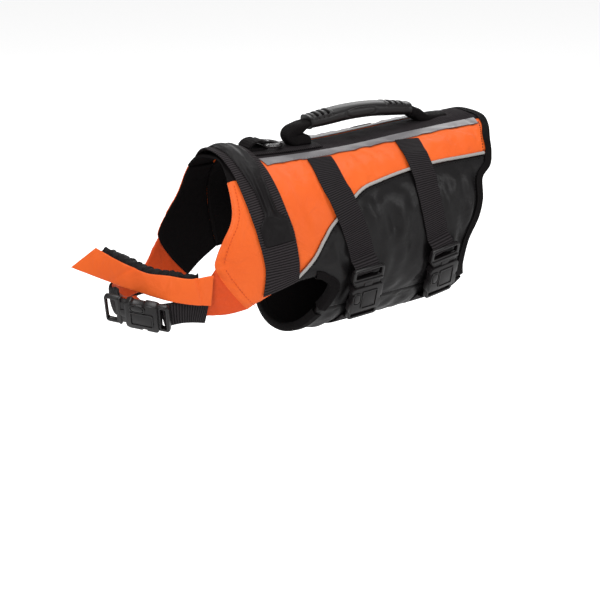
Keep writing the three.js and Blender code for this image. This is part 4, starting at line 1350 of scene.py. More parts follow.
@dataclass
class Trim:
    """What is sewn along the panels' edges and seams."""

    shop: Workshop
    body: BodyForm
    cut: Pattern
    relief: Relief

    def tape(self, side: Side) -> None:
        """The reflective tape along the top of a side panel."""
        piece = cut_piece(self.cut.side)

        def face(height: float, u: Array, w: Array) -> Array:
            """Points of the face."""
            top = piece(0.042 + 0.913 * u, 0 * u)
            lean = 5.5 * (1 - u) - 3.0 * u
            high = top[..., 1] + SEAM
            around = side.value * (high + (TAPE_LOW - high) * w)
            places = np.stack([top[..., 0] + lean * w, around], axis=-1)
            shift = np.zeros(2)
            over = np.full(u.shape, -0.4)
            for step in (-2.0, 0.0, 2.0):
                shift[1] = step * side.value
                over = np.maximum(over, self.relief.at(places + shift))
            return self.body.lifted(places, over + height)

        made = self.shop.shell(
            f"reflective_tape_{side.word}_strip", 170, 10, partial(face, 1.25), partial(face, 0.5),
            [TAPE], f"reflective_tape_{side.word}",
        )
        self.shop.sheet(made, Held.LAID, [f"side_panel_{side.word}_cloth"])

    def piping(self, side: Side) -> None:
        """The raised cord in the seam between a side panel and its flank."""
        line = mirrored(stretch_of(self.cut.piping, 0.04, 0.955), side)

        def ring(u: Array, w: Array) -> Array:
            """The cord's round face, a little uneven where it is sewn in."""
            places = line(u)
            along = self.body.run_along(line, u, 0.01)
            normal = self.body.directions(places[..., 0], places[..., 1])[2]
            aside = unit(np.cross(along, normal))
            angle = w[..., None] * 2 * math.pi
            wide = (1.55 + 0.06 * np.sin(u * 260))[..., None]
            centre = self.body.lifted(places, 0.75 + 0.12 * np.sin(u * 41))
            return centre + aside * np.cos(angle) * wide + normal * np.sin(angle) * 1.35

        self.shop.tube(
            f"piping_{side.word}_cord", 240, 14, ring, (225, 9), PIPING, f"piping_{side.word}"
        )

    def binding(
        self,
        name: str,
        line: Line,
        steps: int,
        side: float,
        thick: float,
        long: float,
        on: Sequence[str],
    ) -> None:
        """A tape folded over the edge of a wall.

        Args:
            name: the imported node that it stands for.
            line: the edge.
            steps: its steps along the edge.
            side: 1 or -1, which side of the line is outside the cloth.
            thick: the wall's thickness.
            long: its rough length in millimetres, which its ripples follow.
            on: the pieces that it is folded over.
        """

        def face(grow: float, u: Array, w: Array) -> Array:
            """Points of the face: over the cloth, around its edge and back below it."""
            places = line(u)
            run = self.body.run_along(line, u, 0.012)
            normal = self.body.directions(places[..., 0], places[..., 1])[2]
            aside = unit(np.cross(run, normal)) * side
            top, low = BINDING_CLEAR - 0.35 + grow, -thick - BINDING_CLEAR + 0.2 - grow
            middle, half = (top + low) / 2, (top - low) / 2
            leg = np.clip(np.minimum(w, 1 - w) / 0.3, 0, 1)
            turn = np.clip((w - 0.3) / 0.4, 0, 1) * math.pi
            wave = 0.4 * np.sin(u * long / 5.3) * (1 - leg)
            out = -BINDING_REACH * (1 - leg) + 0.3 + np.sin(turn) * (0.7 + grow) + wave
            up = middle + half * np.cos(turn)
            dip = -0.25 * np.exp(-(((w - 0.08) / 0.03) ** 2)) * (grow > 0.5)
            up = up + dip + 0.2 * np.sin(u * long / 7.7) * (w < 0.3)
            return (
                self.body.skin(places[..., 0], places[..., 1])
                + aside * out[..., None]
                + normal * up[..., None]
            )

        made = self.shop.shell(
            f"{name}_tape", steps, 22, partial(face, 1.1), partial(face, 0.15), [BINDING], name,
            warp=lambda t: t,
        )
        self.shop.sheet(made, Held.FOLDED, on)

    def build(self) -> None:
        """Makes all the trim."""
        for side in Side:
            self.tape(side)
            self.piping(side)
            self.binding(
                f"leg_binding_{side.word}",
                mirrored(stretch_of(self.cut.armhole, 0.44, 0.97), side),
                70, side.value, FOAM, 50, [f"flank_panel_{side.word}_cloth"],
            )

        def rear(t: Array) -> Array:
            """The rear edge from the right flank over the back to the left one."""
            share = np.abs(t - 0.5) * 2 * 0.985
            place = self.cut.rear(share)
            return np.stack([place[..., 0], place[..., 1] * np.where(t < 0.5, -1, 1)], axis=-1)

        self.binding(
            "rear_binding", rear, 340, -1, FOAM, 440,
            ["spine_panel_cloth", "flank_panel_left_cloth", "flank_panel_right_cloth"],
        )
        for name, u, side in (("belly_front_binding", 0.0, -1), ("belly_rear_binding", 1.0, 1)):
            self.binding(
                name,
                lambda t, u=u: self.cut.belly(u + 0 * t, 0.03 + 0.94 * t),
                130, side, BELLY_FOAM, 150, ["belly_panel_cloth"],
            )


# Webbing


@dataclass
class Webbing:
    """The straps, the wide webbing over the withers and the strips sewn on the back."""

    shop: Workshop
    body: BodyForm
    cut: Pattern
    relief: Relief
    buckle_half: float = 31.0
    bar_depth: float = 13.0
    nape_bow: float = 4.5

    def strap(
        self,
        name: str,
        path: Line,
        steps: int,
        width: float,
        height: Callable[[Array], Array],
        thick: float,
        finish: Finish,
        on: Sequence[str],
        held: Held = Held.STRETCHED,
        across: int = 14,
        fold: Surface = lambda u, side: 0 * u,
        share: Callable[[Array], Array] = lambda u: 1 + 0 * u,
        slant: Callable[[Array], Array] = lambda u: 0 * u,
    ) -> bpy.types.Object:
        """A flat strap on the cloth, at its true width.

        Args:
            name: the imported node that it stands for.
            path: places along its middle.
            steps: its steps along.
            width: its width.
            height: its underside's height over the form, by share along.
            thick: its thickness.
            finish: its finish.
            on: the pieces that it lies on.
            held: how it is held.
            across: its steps across.
            fold: what its folds add to its height, by share along and side from -1 to 1.
            share: the share of its width that is spread out, by share along.
            slant: how far its edges run ahead of each other, by share along.

        Returns:
            The piece.
        """

        def face(top: bool, u: Array, w: Array) -> Array:
            """Points of the face, square to the strap's run."""
            centre = path(u)
            along, turn, normal = self.body.directions(centre[..., 0], centre[..., 1])
            run = self.body.run_along(path, u, 0.01)
            aside = unit(np.cross(normal, run)) + run * slant(u)[..., None]
            ss, sa, aa = (along**2).sum(-1), (along * turn).sum(-1), (turn**2).sum(-1)
            bs, ba = (aside * along).sum(-1), (aside * turn).sum(-1)
            side = 2 * w - 1
            scale = side * width * share(u) / 2 / (ss * aa - sa * sa)
            places = centre + np.stack(
                [(bs * aa - ba * sa) * scale, (ba * ss - bs * sa) * scale], axis=-1
            )
            edge = smooth((np.abs(side) - 0.86) / 0.14)
            up = height(u) + fold(u, side)
            return self.body.lifted(places, up + (thick - 0.4 * edge if top else 0.3 * edge))

        made = self.shop.shell(
            f"{name}_strip", steps, across, partial(face, True), partial(face, False), [finish],
            name,
        )
        self.shop.sheet(made, held, on)
        return made

    def girth_height(self, girth: GirthLine, distance: Array, buckled: Array) -> Array:
        """Clearance of a girth strap: over the piping, and over its buckle's upper bar."""
        over = 1.5 * smooth(2.4 - np.abs(distance - girth.crossing) / 9)
        end = self.buckle_half - self.bar_depth - np.abs(distance - girth.middle)
        near = self.buckle_half - np.abs(distance - girth.middle)
        bar = 6.6 * smooth((near + 7) / 8) * smooth((-end - 1.0) / 4.5)
        return LIFT + over + np.where(buckled, bar, 0.0)

    def girths(self, girth: GirthLine) -> None:
        """Both lengths of a girth strap."""
        end = girth.middle - self.buckle_half + self.bar_depth - 1.0

        def left(t: Array) -> Array:
            """From the tape down to the plug's bar."""
            around = STRAP_TOP + (end - STRAP_TOP) * t
            return np.stack([girth.station(around), around], axis=-1)

        self.strap(
            f"girth_strap_{girth.name}_left", left, 150, WEBBING,
            lambda t: self.girth_height(girth, left(t)[..., 1], np.array(True)),
            WEBBING_THICK, RIBBED, ["side_panel_left_cloth", "flank_panel_left_cloth"],
        )
        bottom = float(self.body.half_girth(np.array(girth.places[-1][0])))
        far = 2 * bottom - (girth.middle + self.buckle_half - self.bar_depth + 1.0)

        def on_body(t: Array) -> tuple[Array, Array]:
            """Distance around from the back, and whether it is past the middle of the belly."""
            around = STRAP_TOP + (far - STRAP_TOP) * t
            return np.where(around > bottom, 2 * bottom - around, around), around > bottom

        def right(t: Array) -> Array:
            """From the tape on the right, under the belly and up to the socket's bar."""
            around = STRAP_TOP + (far - STRAP_TOP) * t
            return np.stack([girth.station(on_body(t)[0]), -around], axis=-1)

        self.strap(
            f"girth_strap_{girth.name}_right", right, 300, WEBBING,
            lambda t: self.girth_height(girth, *on_body(t)),
            WEBBING_THICK, RIBBED,
            ["side_panel_right_cloth", "flank_panel_right_cloth", "belly_panel_cloth"],
        )

    def chest(self) -> None:
        """Both lengths of the chest strap."""
        line = SeamLine(CHEST_LINE)
        self.strap(
            "chest_strap_left", stretch_of(line, 0.0, 0.44), 60, WEBBING,
            lambda t: LIFT + 2.6 * smooth((t - 0.55) / 0.45), WEBBING_THICK, RIBBED,
            ["chest_flap_left_cloth"],
        )
        middle, end, reach = np.array(CHEST_LINE[-1], float), (-137.8, 214.4), 0.34
        across = 2 * float(self.body.half_girth(middle[0])) - middle[1] - end[1]

        def path(t: Array) -> Array:
            """From the plug's bar across the chest to the right shoulder."""
            share = 1 - t / reach
            station = middle[0] + share * (end[0] - middle[0])
            beyond = np.stack([station, -middle[1] - across * share], -1)
            own = line(1 - (t - reach) / (1 - reach)) * np.array([1.0, -1.0])
            return np.where((t > reach)[..., None], own, beyond)

        self.strap(
            "chest_strap_right", path, 120, WEBBING,
            lambda t: LIFT + 0.7 + 4.0 * smooth(1 - t / reach), WEBBING_THICK, RIBBED,
            ["chest_flap_right_cloth"],
        )

    def over_withers(self, reach: float, back: float) -> Line:
        """The line over the withers, as far as a distance around on both sides."""
        line = SeamLine(WITHERS_LINE)(np.linspace(0, 1, 401))

        def path(t: Array) -> Array:
            """Places along the line."""
            around = (2 * t - 1) * reach
            return np.stack([np.interp(np.abs(around), line[:, 1], line[:, 0]) + back, around], -1)

        return path

    def bow(self, around: Array) -> Array:
        """How far the webbing stands off the nape."""
        return self.nape_bow * np.exp(-((around / 26) ** 2))

    def withers(self) -> None:
        """The wide webbing, and the smooth strip sewn on it with a fold at each end."""
        path = self.over_withers(169, 0.0)
        self.strap(
            "withers_webbing", path, 280, WIDE_WEBBING, lambda t: LIFT + self.bow(path(t)[..., 1]),
            WEBBING_THICK, WIDE_RIBBED,
            ["shoulder_panel_left_cloth", "shoulder_panel_right_cloth"],
            slant=lambda t: 0.42 * smooth((np.abs(2 * t - 1) - 0.85) / 0.15) * np.sign(0.5 - t),
        )
        strip = self.over_withers(122, 0.6)

        def far(t: Array) -> Array:
            """Distance from the middle of the nape."""
            return np.abs(strip(t)[..., 1])

        def gathered(t: Array) -> Array:
            """How far the strip is drawn together: flat at its sewn ends, bunched above them."""
            return smooth((104 - far(t)) / 14) * (0.5 + 0.5 * smooth((far(t) - 30) / 45))

        def fold(t: Array, side: Array) -> Array:
            """Long uneven folds, a roll where the bunch ends and a slight wave in the flat end."""
            run = far(t) / 9
            long_folds = 1.3 * np.cos(side * 5.2 + 0.5 * np.sin(run) + 0.6) + 0.7 * np.sin(
                side * 9 + run * 0.6
            )
            roll = 1.5 * np.exp(-(((far(t) - 97 - 5 * side) / 3.4) ** 2)) * (1 - 0.5 * side**2)
            crest = 1.6 * (1 - side**2) * (1 + 0.3 * np.sin(run * 1.3))
            flat = 0.22 * np.sin(far(t) / 3.1 + side * 2) * (1 - gathered(t))
            return gathered(t) * (crest + 0.6 * long_folds) + roll + flat

        self.strap(
            "nape_strip", strip, 300, 28.0,
            lambda t: LIFT + WEBBING_THICK + 0.7 + self.bow(far(t)), 0.9, SMOOTH_STRIP,
            ["withers_webbing_strip"], Held.LAID, 40, fold, lambda t: 1 - 0.56 * gathered(t),
        )

    def spine(self) -> None:
        """The ribbed webbing along the front of the spine."""
        self.strap(
            "spine_webbing", lambda t: np.stack([-119 + 77 * t, 0 * t], -1), 90, 36.0,
            lambda t: LIFT + 0 * t, WEBBING_THICK, RIBBED, ["spine_panel_cloth"], Held.LAID,
        )

    def build(self) -> None:
        """Makes all the webbing."""
        for girth in GIRTHS:
            self.girths(girth)
        self.chest()
        self.withers()
        self.spine()


# Buckles


@dataclass
class Buckle:
    """A side-release buckle: a plug above and a socket below, flat in its own frame.

    x runs across, y down the strap and z outwards, in millimetres.
    """

    shop: Workshop
    name: str
    place: Matrix
    hand: int = 1
    corner_steps: int = 5

    def outline(self, x: float, y: float, wide: float, long: float, corner: float) -> list[Vector]:
        """Corners of a rounded rectangle, in order."""
        found = []
        for k, (sx, sy) in enumerate(((1, 1), (-1, 1), (-1, -1), (1, -1))):
            cx, cy = x + sx * (wide / 2 - corner), y + sy * (long / 2 - corner)
            for i in range(self.corner_steps):
                angle = math.pi / 2 * (k + i / (self.corner_steps - 1))
                found.append(
                    Vector((cx + corner * math.cos(angle), cy + corner * math.sin(angle), 0.0))
                )
        return [Vector((self.hand * p.x, p.y, 0.0)) for p in found][:: self.hand]

    def plate(
        self, bm: bmesh.types.BMesh, outline: Sequence[Vector], low: float, high: float, soft: float
    ) -> None:
        """Adds a plate with softened edges.

        Args:
            bm: the mesh that it joins.
            outline: its corners.
            low: its underside.
            high: its upper face.
            soft: the width of its bevels.
        """
        part = bmesh.new()
        face = part.faces.new([part.verts.new((p.x, p.y, low)) for p in outline])
        made = bmesh.ops.extrude_face_region(part, geom=[face])
        verts = [v for v in made["geom"] if isinstance(v, bmesh.types.BMVert)]
        bmesh.ops.translate(part, vec=(0, 0, high - low), verts=verts)
        self.soften(part, soft)
        self.join(bm, part)

    def frame(
        self,
        bm: bmesh.types.BMesh,
        outer: Sequence[Vector],
        slot: Sequence[Vector],
        low: float,
        high: float,
        soft: float,
    ) -> None:
        """Adds a frame around a slot."""
        part = bmesh.new()
        loops = []
        for outline in (outer, slot):
            verts = [part.verts.new((p.x, p.y, low)) for p in outline]
            loops += [part.edges.new((verts[i - 1], verts[i])) for i in range(len(verts))]
        ring = bmesh.ops.bridge_loops(part, edges=loops)["faces"]
        made = bmesh.ops.extrude_face_region(part, geom=ring)
        verts = [v for v in made["geom"] if isinstance(v, bmesh.types.BMVert)]
        bmesh.ops.translate(part, vec=(0, 0, high - low), verts=verts)
        self.soften(part, soft)
        self.join(bm, part)

    def soften(self, part: bmesh.types.BMesh, soft: float) -> None:
        """Bevels a plate's sharp edges."""
        bmesh.ops.recalc_face_normals(part, faces=part.faces)
        sharp = [e for e in part.edges if e.calc_face_angle(0.0) > math.radians(50)]
        bmesh.ops.bevel(
            part, geom=sharp, offset=soft, offset_type="OFFSET", segments=2, profile=0.5,
            affect="EDGES", material=-1, clamp_overlap=True,
        )

    def join(self, bm: bmesh.types.BMesh, part: bmesh.types.BMesh) -> None:
        """Adds a part to the mesh and frees it."""
        mesh = bpy.data.meshes.new("part")
        part.to_mesh(mesh)
        part.free()
        bm.from_mesh(mesh)
        bpy.data.meshes.remove(mesh)

    def plug(self) -> None:
        """The half on the upper strap: an open frame and the body that enters the socket."""
        bm = bmesh.new()
        o = self.outline
        self.frame(bm, o(0, -22.9, 34, 16.2, 3.4), o(0, -24.6, 27.4, 8.6, 1.4), 1.4, 6.2, 0.9)
        self.plate(bm, o(0, -16.4, 33, 3.4, 1.4), 1.0, 7.4, 0.9)
        self.plate(bm, o(0, -8, 27, 16.4, 2.0), 0.8, 6.8, 0.9)
        self.plate(bm, o(0, -9.6, 9, 12, 2.0), 6.2, 7.7, 0.5)
        bmesh.ops.transform(bm, matrix=self.place, verts=bm.verts)
        self.shop.piece(f"{self.name}_plug_body", bm, [PLASTIC], f"{self.name}_plug", sharp=40)

    def socket(self) -> None:
        """The half on the lower strap, with its button, outlined panel, notch and strap slot."""
        bm = bmesh.new()
        o = self.outline
        body = [
            Vector((self.hand * x, y, 0))
            for x, y in (
                (-17, -6.5), (-15.6, -9.6), (-12.5, -10.6), (12.5, -10.6), (15.6, -9.6),
                (17, -6.8), (17, 5.4), (15.4, 6.2), (15.4, 9.4), (17, 10.2), (17, 18.4),
                (16, 20.9), (-16, 20.9), (-17, 18.4), (-17, 8.6), (-15.2, 7.4), (-15.2, -3.4),
                (-17, -4.6),
            )
        ][:: self.hand]
        self.plate(bm, body, 0.0, 8.9, 1.1)
        self.frame(bm, o(2.6, 5.6, 17, 22.4, 1.6), o(2.6, 5.6, 14.6, 20, 1.0), 8.2, 10.0, 0.35)
        self.plate(bm, o(2.6, 5.6, 13.6, 19, 0.8), 8.0, 9.4, 0.3)
        button = (-11.4, 2.0)
        self.frame(bm, o(*button, 9.8, 15.2, 4.6), o(*button, 7.8, 13.2, 3.8), 8.0, 10.0, 0.35)
        self.plate(bm, o(*button, 6.6, 12.0, 3.2), 7.6, 10.2, 1.0)
        self.frame(bm, o(0, 24.4, 32.4, 13.2, 3.2), o(0, 25.4, 26.4, 5.0, 1.2), 0.8, 6.2, 0.9)
        self.plate(bm, o(0, 19.8, 30, 3.0, 1.2), 5.0, 7.6, 0.8)
        bmesh.ops.transform(bm, matrix=self.place, verts=bm.verts)
        self.shop.piece(f"{self.name}_socket_body", bm, [PLASTIC], f"{self.name}_socket", sharp=40)

    def build(self) -> None:
        """Makes both halves."""
        self.plug()
        self.socket()


def buckle_place(centre: Array, down: Array, out: Array) -> Matrix:
    """Places a buckle: down is the direction of its strap and out its outward face."""
    outward = unit(out - down * float(out @ down))
    across = unit(np.cross(down, outward))
    made = Matrix.Identity(4)
    for k, axis in enumerate((across, down, outward, centre)):
        for row in range(3):
            made[row][k] = axis[row]
    return made


def buckles(shop: Workshop, body: BodyForm) -> list[Buckle]:
    """The two girth buckles and the chest buckle, each in its place."""
    found = []
    for girth in GIRTHS:
        around = girth.middle + np.array([-27.0, 27.0])
        ends = body.skin(girth.station(around), around)
        centre = np.array([float(girth.station(np.array(girth.middle))), girth.middle])
        normal = body.directions(centre[0], centre[1])[2]
        place = buckle_place(body.lifted(centre, 1.5), unit(ends[1] - ends[0]), normal)
        found.append(Buckle(shop, f"girth_buckle_{girth.name}", place, -1))
    ends = body.skin(np.array([-138.0, -118.0]), np.array([218.0, 203.0]))
    centre = np.array([-134.0, 207.0])
    normal = body.directions(centre[0], centre[1])[2]
    face = np.array([normal[0], normal[1], -0.5])
    place = buckle_place(body.lifted(centre, 3.0), unit(ends[1] - ends[0]), unit(face))
    found.append(Buckle(shop, "chest_buckle", place))
    return found


# Chin float


def centripetal(points: Array, t: Array) -> Array:
    """A smooth space curve through points, eased by their spacing."""
    ends = [2 * points[0] - points[1], *points, 2 * points[-1] - points[-2]]
    p = np.array(ends, float)
    last = len(points) - 1
    s = np.clip(t, 0, 1) * last
    i = np.minimum(s.astype(int), last - 1)
    f = (s - i)[..., None]
    a, b, c, d = p[i], p[i + 1], p[i + 2], p[i + 3]
    g, h, k = (
        np.maximum(np.linalg.norm(y - x, axis=-1, keepdims=True) ** 0.5, 1e-4)
        for x, y in ((a, b), (b, c), (c, d))
    )
    v = ((b - a) / g - (c - a) / (g + h) + (c - b) / h) * h
    w = ((c - b) / h - (d - b) / (h + k) + (d - c) / k) * h
    return (2 * b - 2 * c + v + w) * f**3 + (-3 * b + 3 * c - 2 * v - w) * f**2 + v * f + b


def run_of(points: Array, t: Array, step: float) -> Array:
    """How far a smooth curve through points runs around each share of its length."""
    ahead = centripetal(points, np.minimum(t + step, 1))
    return ahead - centripetal(points, np.maximum(t - step, 0))


@dataclass
class ChinFloat:
    """The stiff orange band under the chin and the black pad behind it.

    Each row is the band's upper and lower edge and the pad's thickness, from the near end to the
    free far end. Each crease is a place along it, a lean, a depth and a width.
    """

    shop: Workshop
    rows: tuple[tuple[tuple[float, ...], tuple[float, ...], float], ...] = (
        ((69, -187, -90), (69, -190, -118.5), 3),
        ((63.5, -207, -91.5), (63.5, -212, -115), 4),
        ((51, -225, -89), (52, -231, -110.5), 9),
        ((33, -238, -89), (34, -242, -108), 14),
        ((8, -252, -83), (12, -256, -104.3), 17),
        ((-12, -257, -80), (-14, -267, -101.4), 14),
        ((-30, -261, -77), (-44, -281, -97), 5),
    )
    band_thick: float = 2.0
    creases: tuple[tuple[float, float, float, float], ...] = (
        (0.13, -0.07, 1.6, 0.012), (0.31, 0.05, 0.6, 0.02), (0.47, 0.1, -0.7, 0.03),
        (0.58, 0.16, 1.5, 0.016), (0.66, -0.06, -0.6, 0.03), (0.83, 0.04, 0.7, 0.02),
    )

    def row(self, t: Array) -> tuple[Array, Array, Array]:
        """The band's upper edge, lower edge and inward direction at shares of its length."""
        upper = np.array([r[0] for r in self.rows], float)
        lower = np.array([r[1] for r in self.rows], float)
        high, low = centripetal(upper, t), centripetal(lower, t)
        inward = unit(np.cross(run_of(upper, t, 0.02), low - high))
        turn = np.sign((inward * np.array([-0.5, 1.0, 0.0])).sum(-1, keepdims=True))
        return high, low, inward * turn

    def band(self) -> None:
        """The orange band, stiff and flat with a soft wave along its edges."""

        def face(deep: float, u: Array, w: Array) -> Array:
            """Points of the face."""
            high, low, inward = self.row(u)
            wave = 0.6 * np.sin(u * 21 + 0.6) * (1 - w) + 0.4 * np.sin(u * 33 + 2.0) * w
            for place, lean, sink, wide in self.creases:
                off = (u - place - lean * w) / wide
                wave = wave + sink * np.exp(-(off**2)) * (1 - 0.5 * w)
            crown = 0.8 * (1 - (2 * w - 1) ** 2) * smooth(u / 0.08) * smooth((1 - u) / 0.1)
            rim = np.minimum(np.minimum(u, 1 - u) * 150, np.minimum(w, 1 - w) * 26)
            soft = 0.5 * np.clip(1 - rim / 1.2, 0, 1) ** 2
            depth = (wave + deep - crown + soft * np.sign(1 - deep))[..., None]
            return high + (low - high) * w[..., None] + inward * depth

        made = self.shop.shell(
            "chin_band_cloth", 170, 34, partial(face, 0.2), partial(face, self.band_thick - 0.1),
            [ORANGE, LINING], "chin_band",
        )
        self.shop.sheet(made, Held.STRETCHED, ["chin_pad_cushion"])

    def pad(self) -> None:
        """The soft black pad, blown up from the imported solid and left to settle."""
        source = bpy.data.objects["chin_pad"]
        bm = bmesh.new()
        bm.from_mesh(source.data)
        bmesh.ops.remove_doubles(bm, verts=bm.verts, dist=1e-6)
        bmesh.ops.recalc_face_normals(bm, faces=bm.faces)
        made = object_of("chin_pad_cushion", bm)
        swell(made, voxel=0.0032, cap=0.003, pressure=4.0)
        gather(made)
        for polygon in made.data.polygons:
            polygon.use_smooth = True
        made.data.materials.clear()
        self.shop.enter(made, [LINING_PAD], "chin_pad")

    def build(self) -> None:
        """Makes the band and its pad."""
        self.band()
        self.pad()


def apply_modifiers(piece: bpy.types.Object) -> None:
    """Replaces a piece's mesh by what its modifiers make of it."""
    graph = bpy.context.evaluated_depsgraph_get()
    made = bpy.data.meshes.new_from_object(piece.evaluated_get(graph))
    piece.modifiers.clear()
    old = piece.data
    piece.data = made
    bpy.data.meshes.remove(old)


def swell(piece: bpy.types.Object, voxel: float, cap: float, pressure: float) -> None:
    """Fills a closed piece out like a cushion, by cloth simulation.

    Args:
        piece: the piece, which is remeshed.
        voxel: the remesh size in metres.
        cap: how far a point may move, in metres.
        pressure: the air pressure inside.
    """
    remesh = piece.modifiers.new("remesh", "REMESH")
    remesh.mode, remesh.voxel_size = "VOXEL", voxel
    apply_modifiers(piece)
    rest = np.array([v.co for v in piece.data.vertices])
    cloth = piece.modifiers.new("cloth", "CLOTH")
    cloth.settings.use_pressure = True
    cloth.settings.uniform_pressure_force = pressure
    cloth.settings.quality = 5
    cloth.settings.effector_weights.gravity = 0.0
    cloth.point_cache.frame_start, cloth.point_cache.frame_end = 1, 20
    for frame in range(1, 21):
        bpy.context.scene.frame_set(frame)
    apply_modifiers(piece)
    bpy.context.scene.frame_set(1)
    moved = np.array([v.co for v in piece.data.vertices]) - rest
    far = np.linalg.norm(moved, axis=1, keepdims=True)
    moved *= np.minimum(1.0, cap / np.maximum(far, 1e-9))
    piece.data.vertices.foreach_set("co", (rest + moved).astype(np.float32).ravel())
    divide = piece.modifiers.new("divide", "SUBSURF")
    divide.levels = divide.render_levels = 1
    apply_modifiers(piece)


def gather(piece: bpy.types.Object) -> None:
    """Draws a swollen pad into uneven pleats along its length, deepest at its top."""
    mesh = piece.data
    spots = np.array([v.co for v in mesh.vertices]) / MM
    normals = np.array([v.normal for v in mesh.vertices])
    run = spots[:, 0] + 0.4 * spots[:, 1]
    pleat = np.sin(run / 1.35 + 1.3 * np.sin(run / 6.1)) + 0.5 * np.sin(run / 0.71 + 2.0)
    high = smooth((spots[:, 2] + 108) / 16)
    spots += normals * (0.75 * pleat * (0.25 + 0.75 * high))[:, None]
    mesh.vertices.foreach_set("co", (spots * MM).astype(np.float32).ravel())


# Handle and lead ring


@dataclass
class Handle:
    """The grab handle: two ends of folded webbing and a moulded grip."""

    shop: Workshop
    front: tuple[tuple[float, float], ...] = (
        (-50, 8.65), (-60, 8.5), (-67.5, 10), (-71.5, 15), (-68, 20), (-60, 23), (-50.8, 25.9),
    )
    grip: tuple[tuple[float, float], ...] = (
        (-50, 26.1), (-30, 28.8), (-8, 31.6), (20, 32.6), (44, 31), (66, 28.6),
    )
    rear: tuple[tuple[float, float], ...] = (
        (66.9, 28.3), (74, 25.6), (81, 21.2), (89, 17.9), (98, 18.1), (108, 18.85),
    )
    slots: tuple[float, ...] = (0.085, 0.145, 0.205, 0.775, 0.835, 0.895)

    def line(self, places: Sequence[tuple[float, float]], t: Array) -> tuple[Array, Array]:
        """Middle line in the plane of symmetry, and its upward direction."""
        points = np.array([(0.0, y, z) for y, z in places])
        run = unit(run_of(points, t, 0.004))
        up = np.stack([0 * t, -run[..., 2], run[..., 1]], axis=-1)
        return centripetal(points, t), up

    def core(
        self,
        name: str,
        places: Sequence[tuple[float, float]],
        steps: int,
        long: float,
        bulk: float,
        start: float,
        turn: float,
    ) -> None:
        """An end of the handle: webbing folded to a flat tube and bunched where it bends.

        Args:
            name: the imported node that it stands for.
            places: its middle line in the plane of symmetry.
            steps: its steps along.
            long: its length.
            bulk: how much thicker it is at its bend.
            start: the share of its length where the bunch starts.
            turn: 1 where its upper face is outside the bend and -1 where the lower is.
        """

        def ring(u: Array, w: Array) -> Array:
            """The tube's face."""
            centre, up = self.line(places, u)
            angle = w * 2 * math.pi
            c, s = np.cos(angle), np.sin(angle)
            crease = 0.4 * np.sin(u * long / 2.6 + 1.5 * np.sin(angle) + 2 * c) * np.abs(s)
            bunch = bulk * np.sin(math.pi * np.clip((u - start) / (1 - start), 0, 1)) ** 0.8
            wide = (10.6 - 0.25 * bunch) * np.sign(c) * np.abs(c) ** 0.77
            thick = 2.5 + crease + np.where(s * turn > 0, 1.0, 0.3) * bunch
            high = thick * np.sign(s) * np.abs(s) ** 0.7
            side = np.array([1.0, 0.0, 0.0])
            return centre + side * wide[..., None] + up * high[..., None]

        self.shop.tube(f"{name}_webbing", steps, 48, ring, (long, 46), CORE, name)

    def moulding(self) -> None:
        """The grip, with slots near both ends, an oval outline, dots and a raised border."""
        long, top = 117.0, math.pi / 2

        def ring(u: Array, w: Array) -> Array:
            """The grip's face with its low relief."""
            centre, up = self.line(self.grip, u)
            angle = w * 2 * math.pi
            c, s = np.cos(angle), np.sin(angle)
            taper = 1 - 0.16 * np.abs(2 * u - 1) ** 3
            lip = 0.9 * np.exp(-((u * long / 2.2) ** 2))
            lip = lip + 0.6 * np.exp(-(((1 - u) * long / 2.4) ** 2))
            from_top = np.abs(angle - top)
            near_top = np.where(from_top > math.pi, 2 * math.pi - from_top, from_top)
            cut = 0 * u
            for place in self.slots:
                along = np.abs(u - place) * long
                cut += 3.3 * smooth((1.9 - along) / 0.9) * smooth((0.95 - near_top) / 0.22)
            bank = sum(
                smooth((13 - np.abs(u - p) * long) / 1.2) * smooth((1.3 - near_top) / 0.12)
                for p in (0.145, 0.835)
            )
            side_on = np.where(c > 0, angle, math.pi - angle)
            side_on = np.where(side_on > math.pi, side_on - 2 * math.pi, side_on)
            oval = np.hypot((u - 0.5) * long / 15.0, (side_on * 9.5 - 1.0) / 5.6)
            line = -0.5 * np.exp(-(((oval - 1) * 9) ** 2)) + 0.25 * smooth((1 - oval) / 0.15)
            dots = sum(
                1.0 * np.exp(-(((u - p) * long) ** 2 + ((side_on - 0.35) * 9.5) ** 2) / 0.7)
                for p in (0.09, 0.14, 0.19)
            )
            seam = -0.3 * np.exp(-((np.abs(side_on + 0.55) * 9 / 0.5) ** 2))
            off = lip + 0.55 * bank - cut + line - dots + seam
            wide = (12 * taper + off) * np.sign(c) * np.abs(c) ** 0.77
            high = (7.4 * taper + off) * np.sign(s) * np.abs(s) ** 0.77
            side = np.array([1.0, 0.0, 0.0])
            return centre + side * wide[..., None] + up * high[..., None]

        self.shop.tube("handle_grip_moulding", 300, 120, ring, (long, 62), RUBBER, "handle_grip")

    def build(self) -> None:
        """Makes the grip and both ends."""
        self.core("handle_core_front", self.front, 120, 62, 9.5, -0.1, -1)
        self.core("handle_core_rear", self.rear, 80, 46, 5.5, -0.5, -1)
        self.moulding()


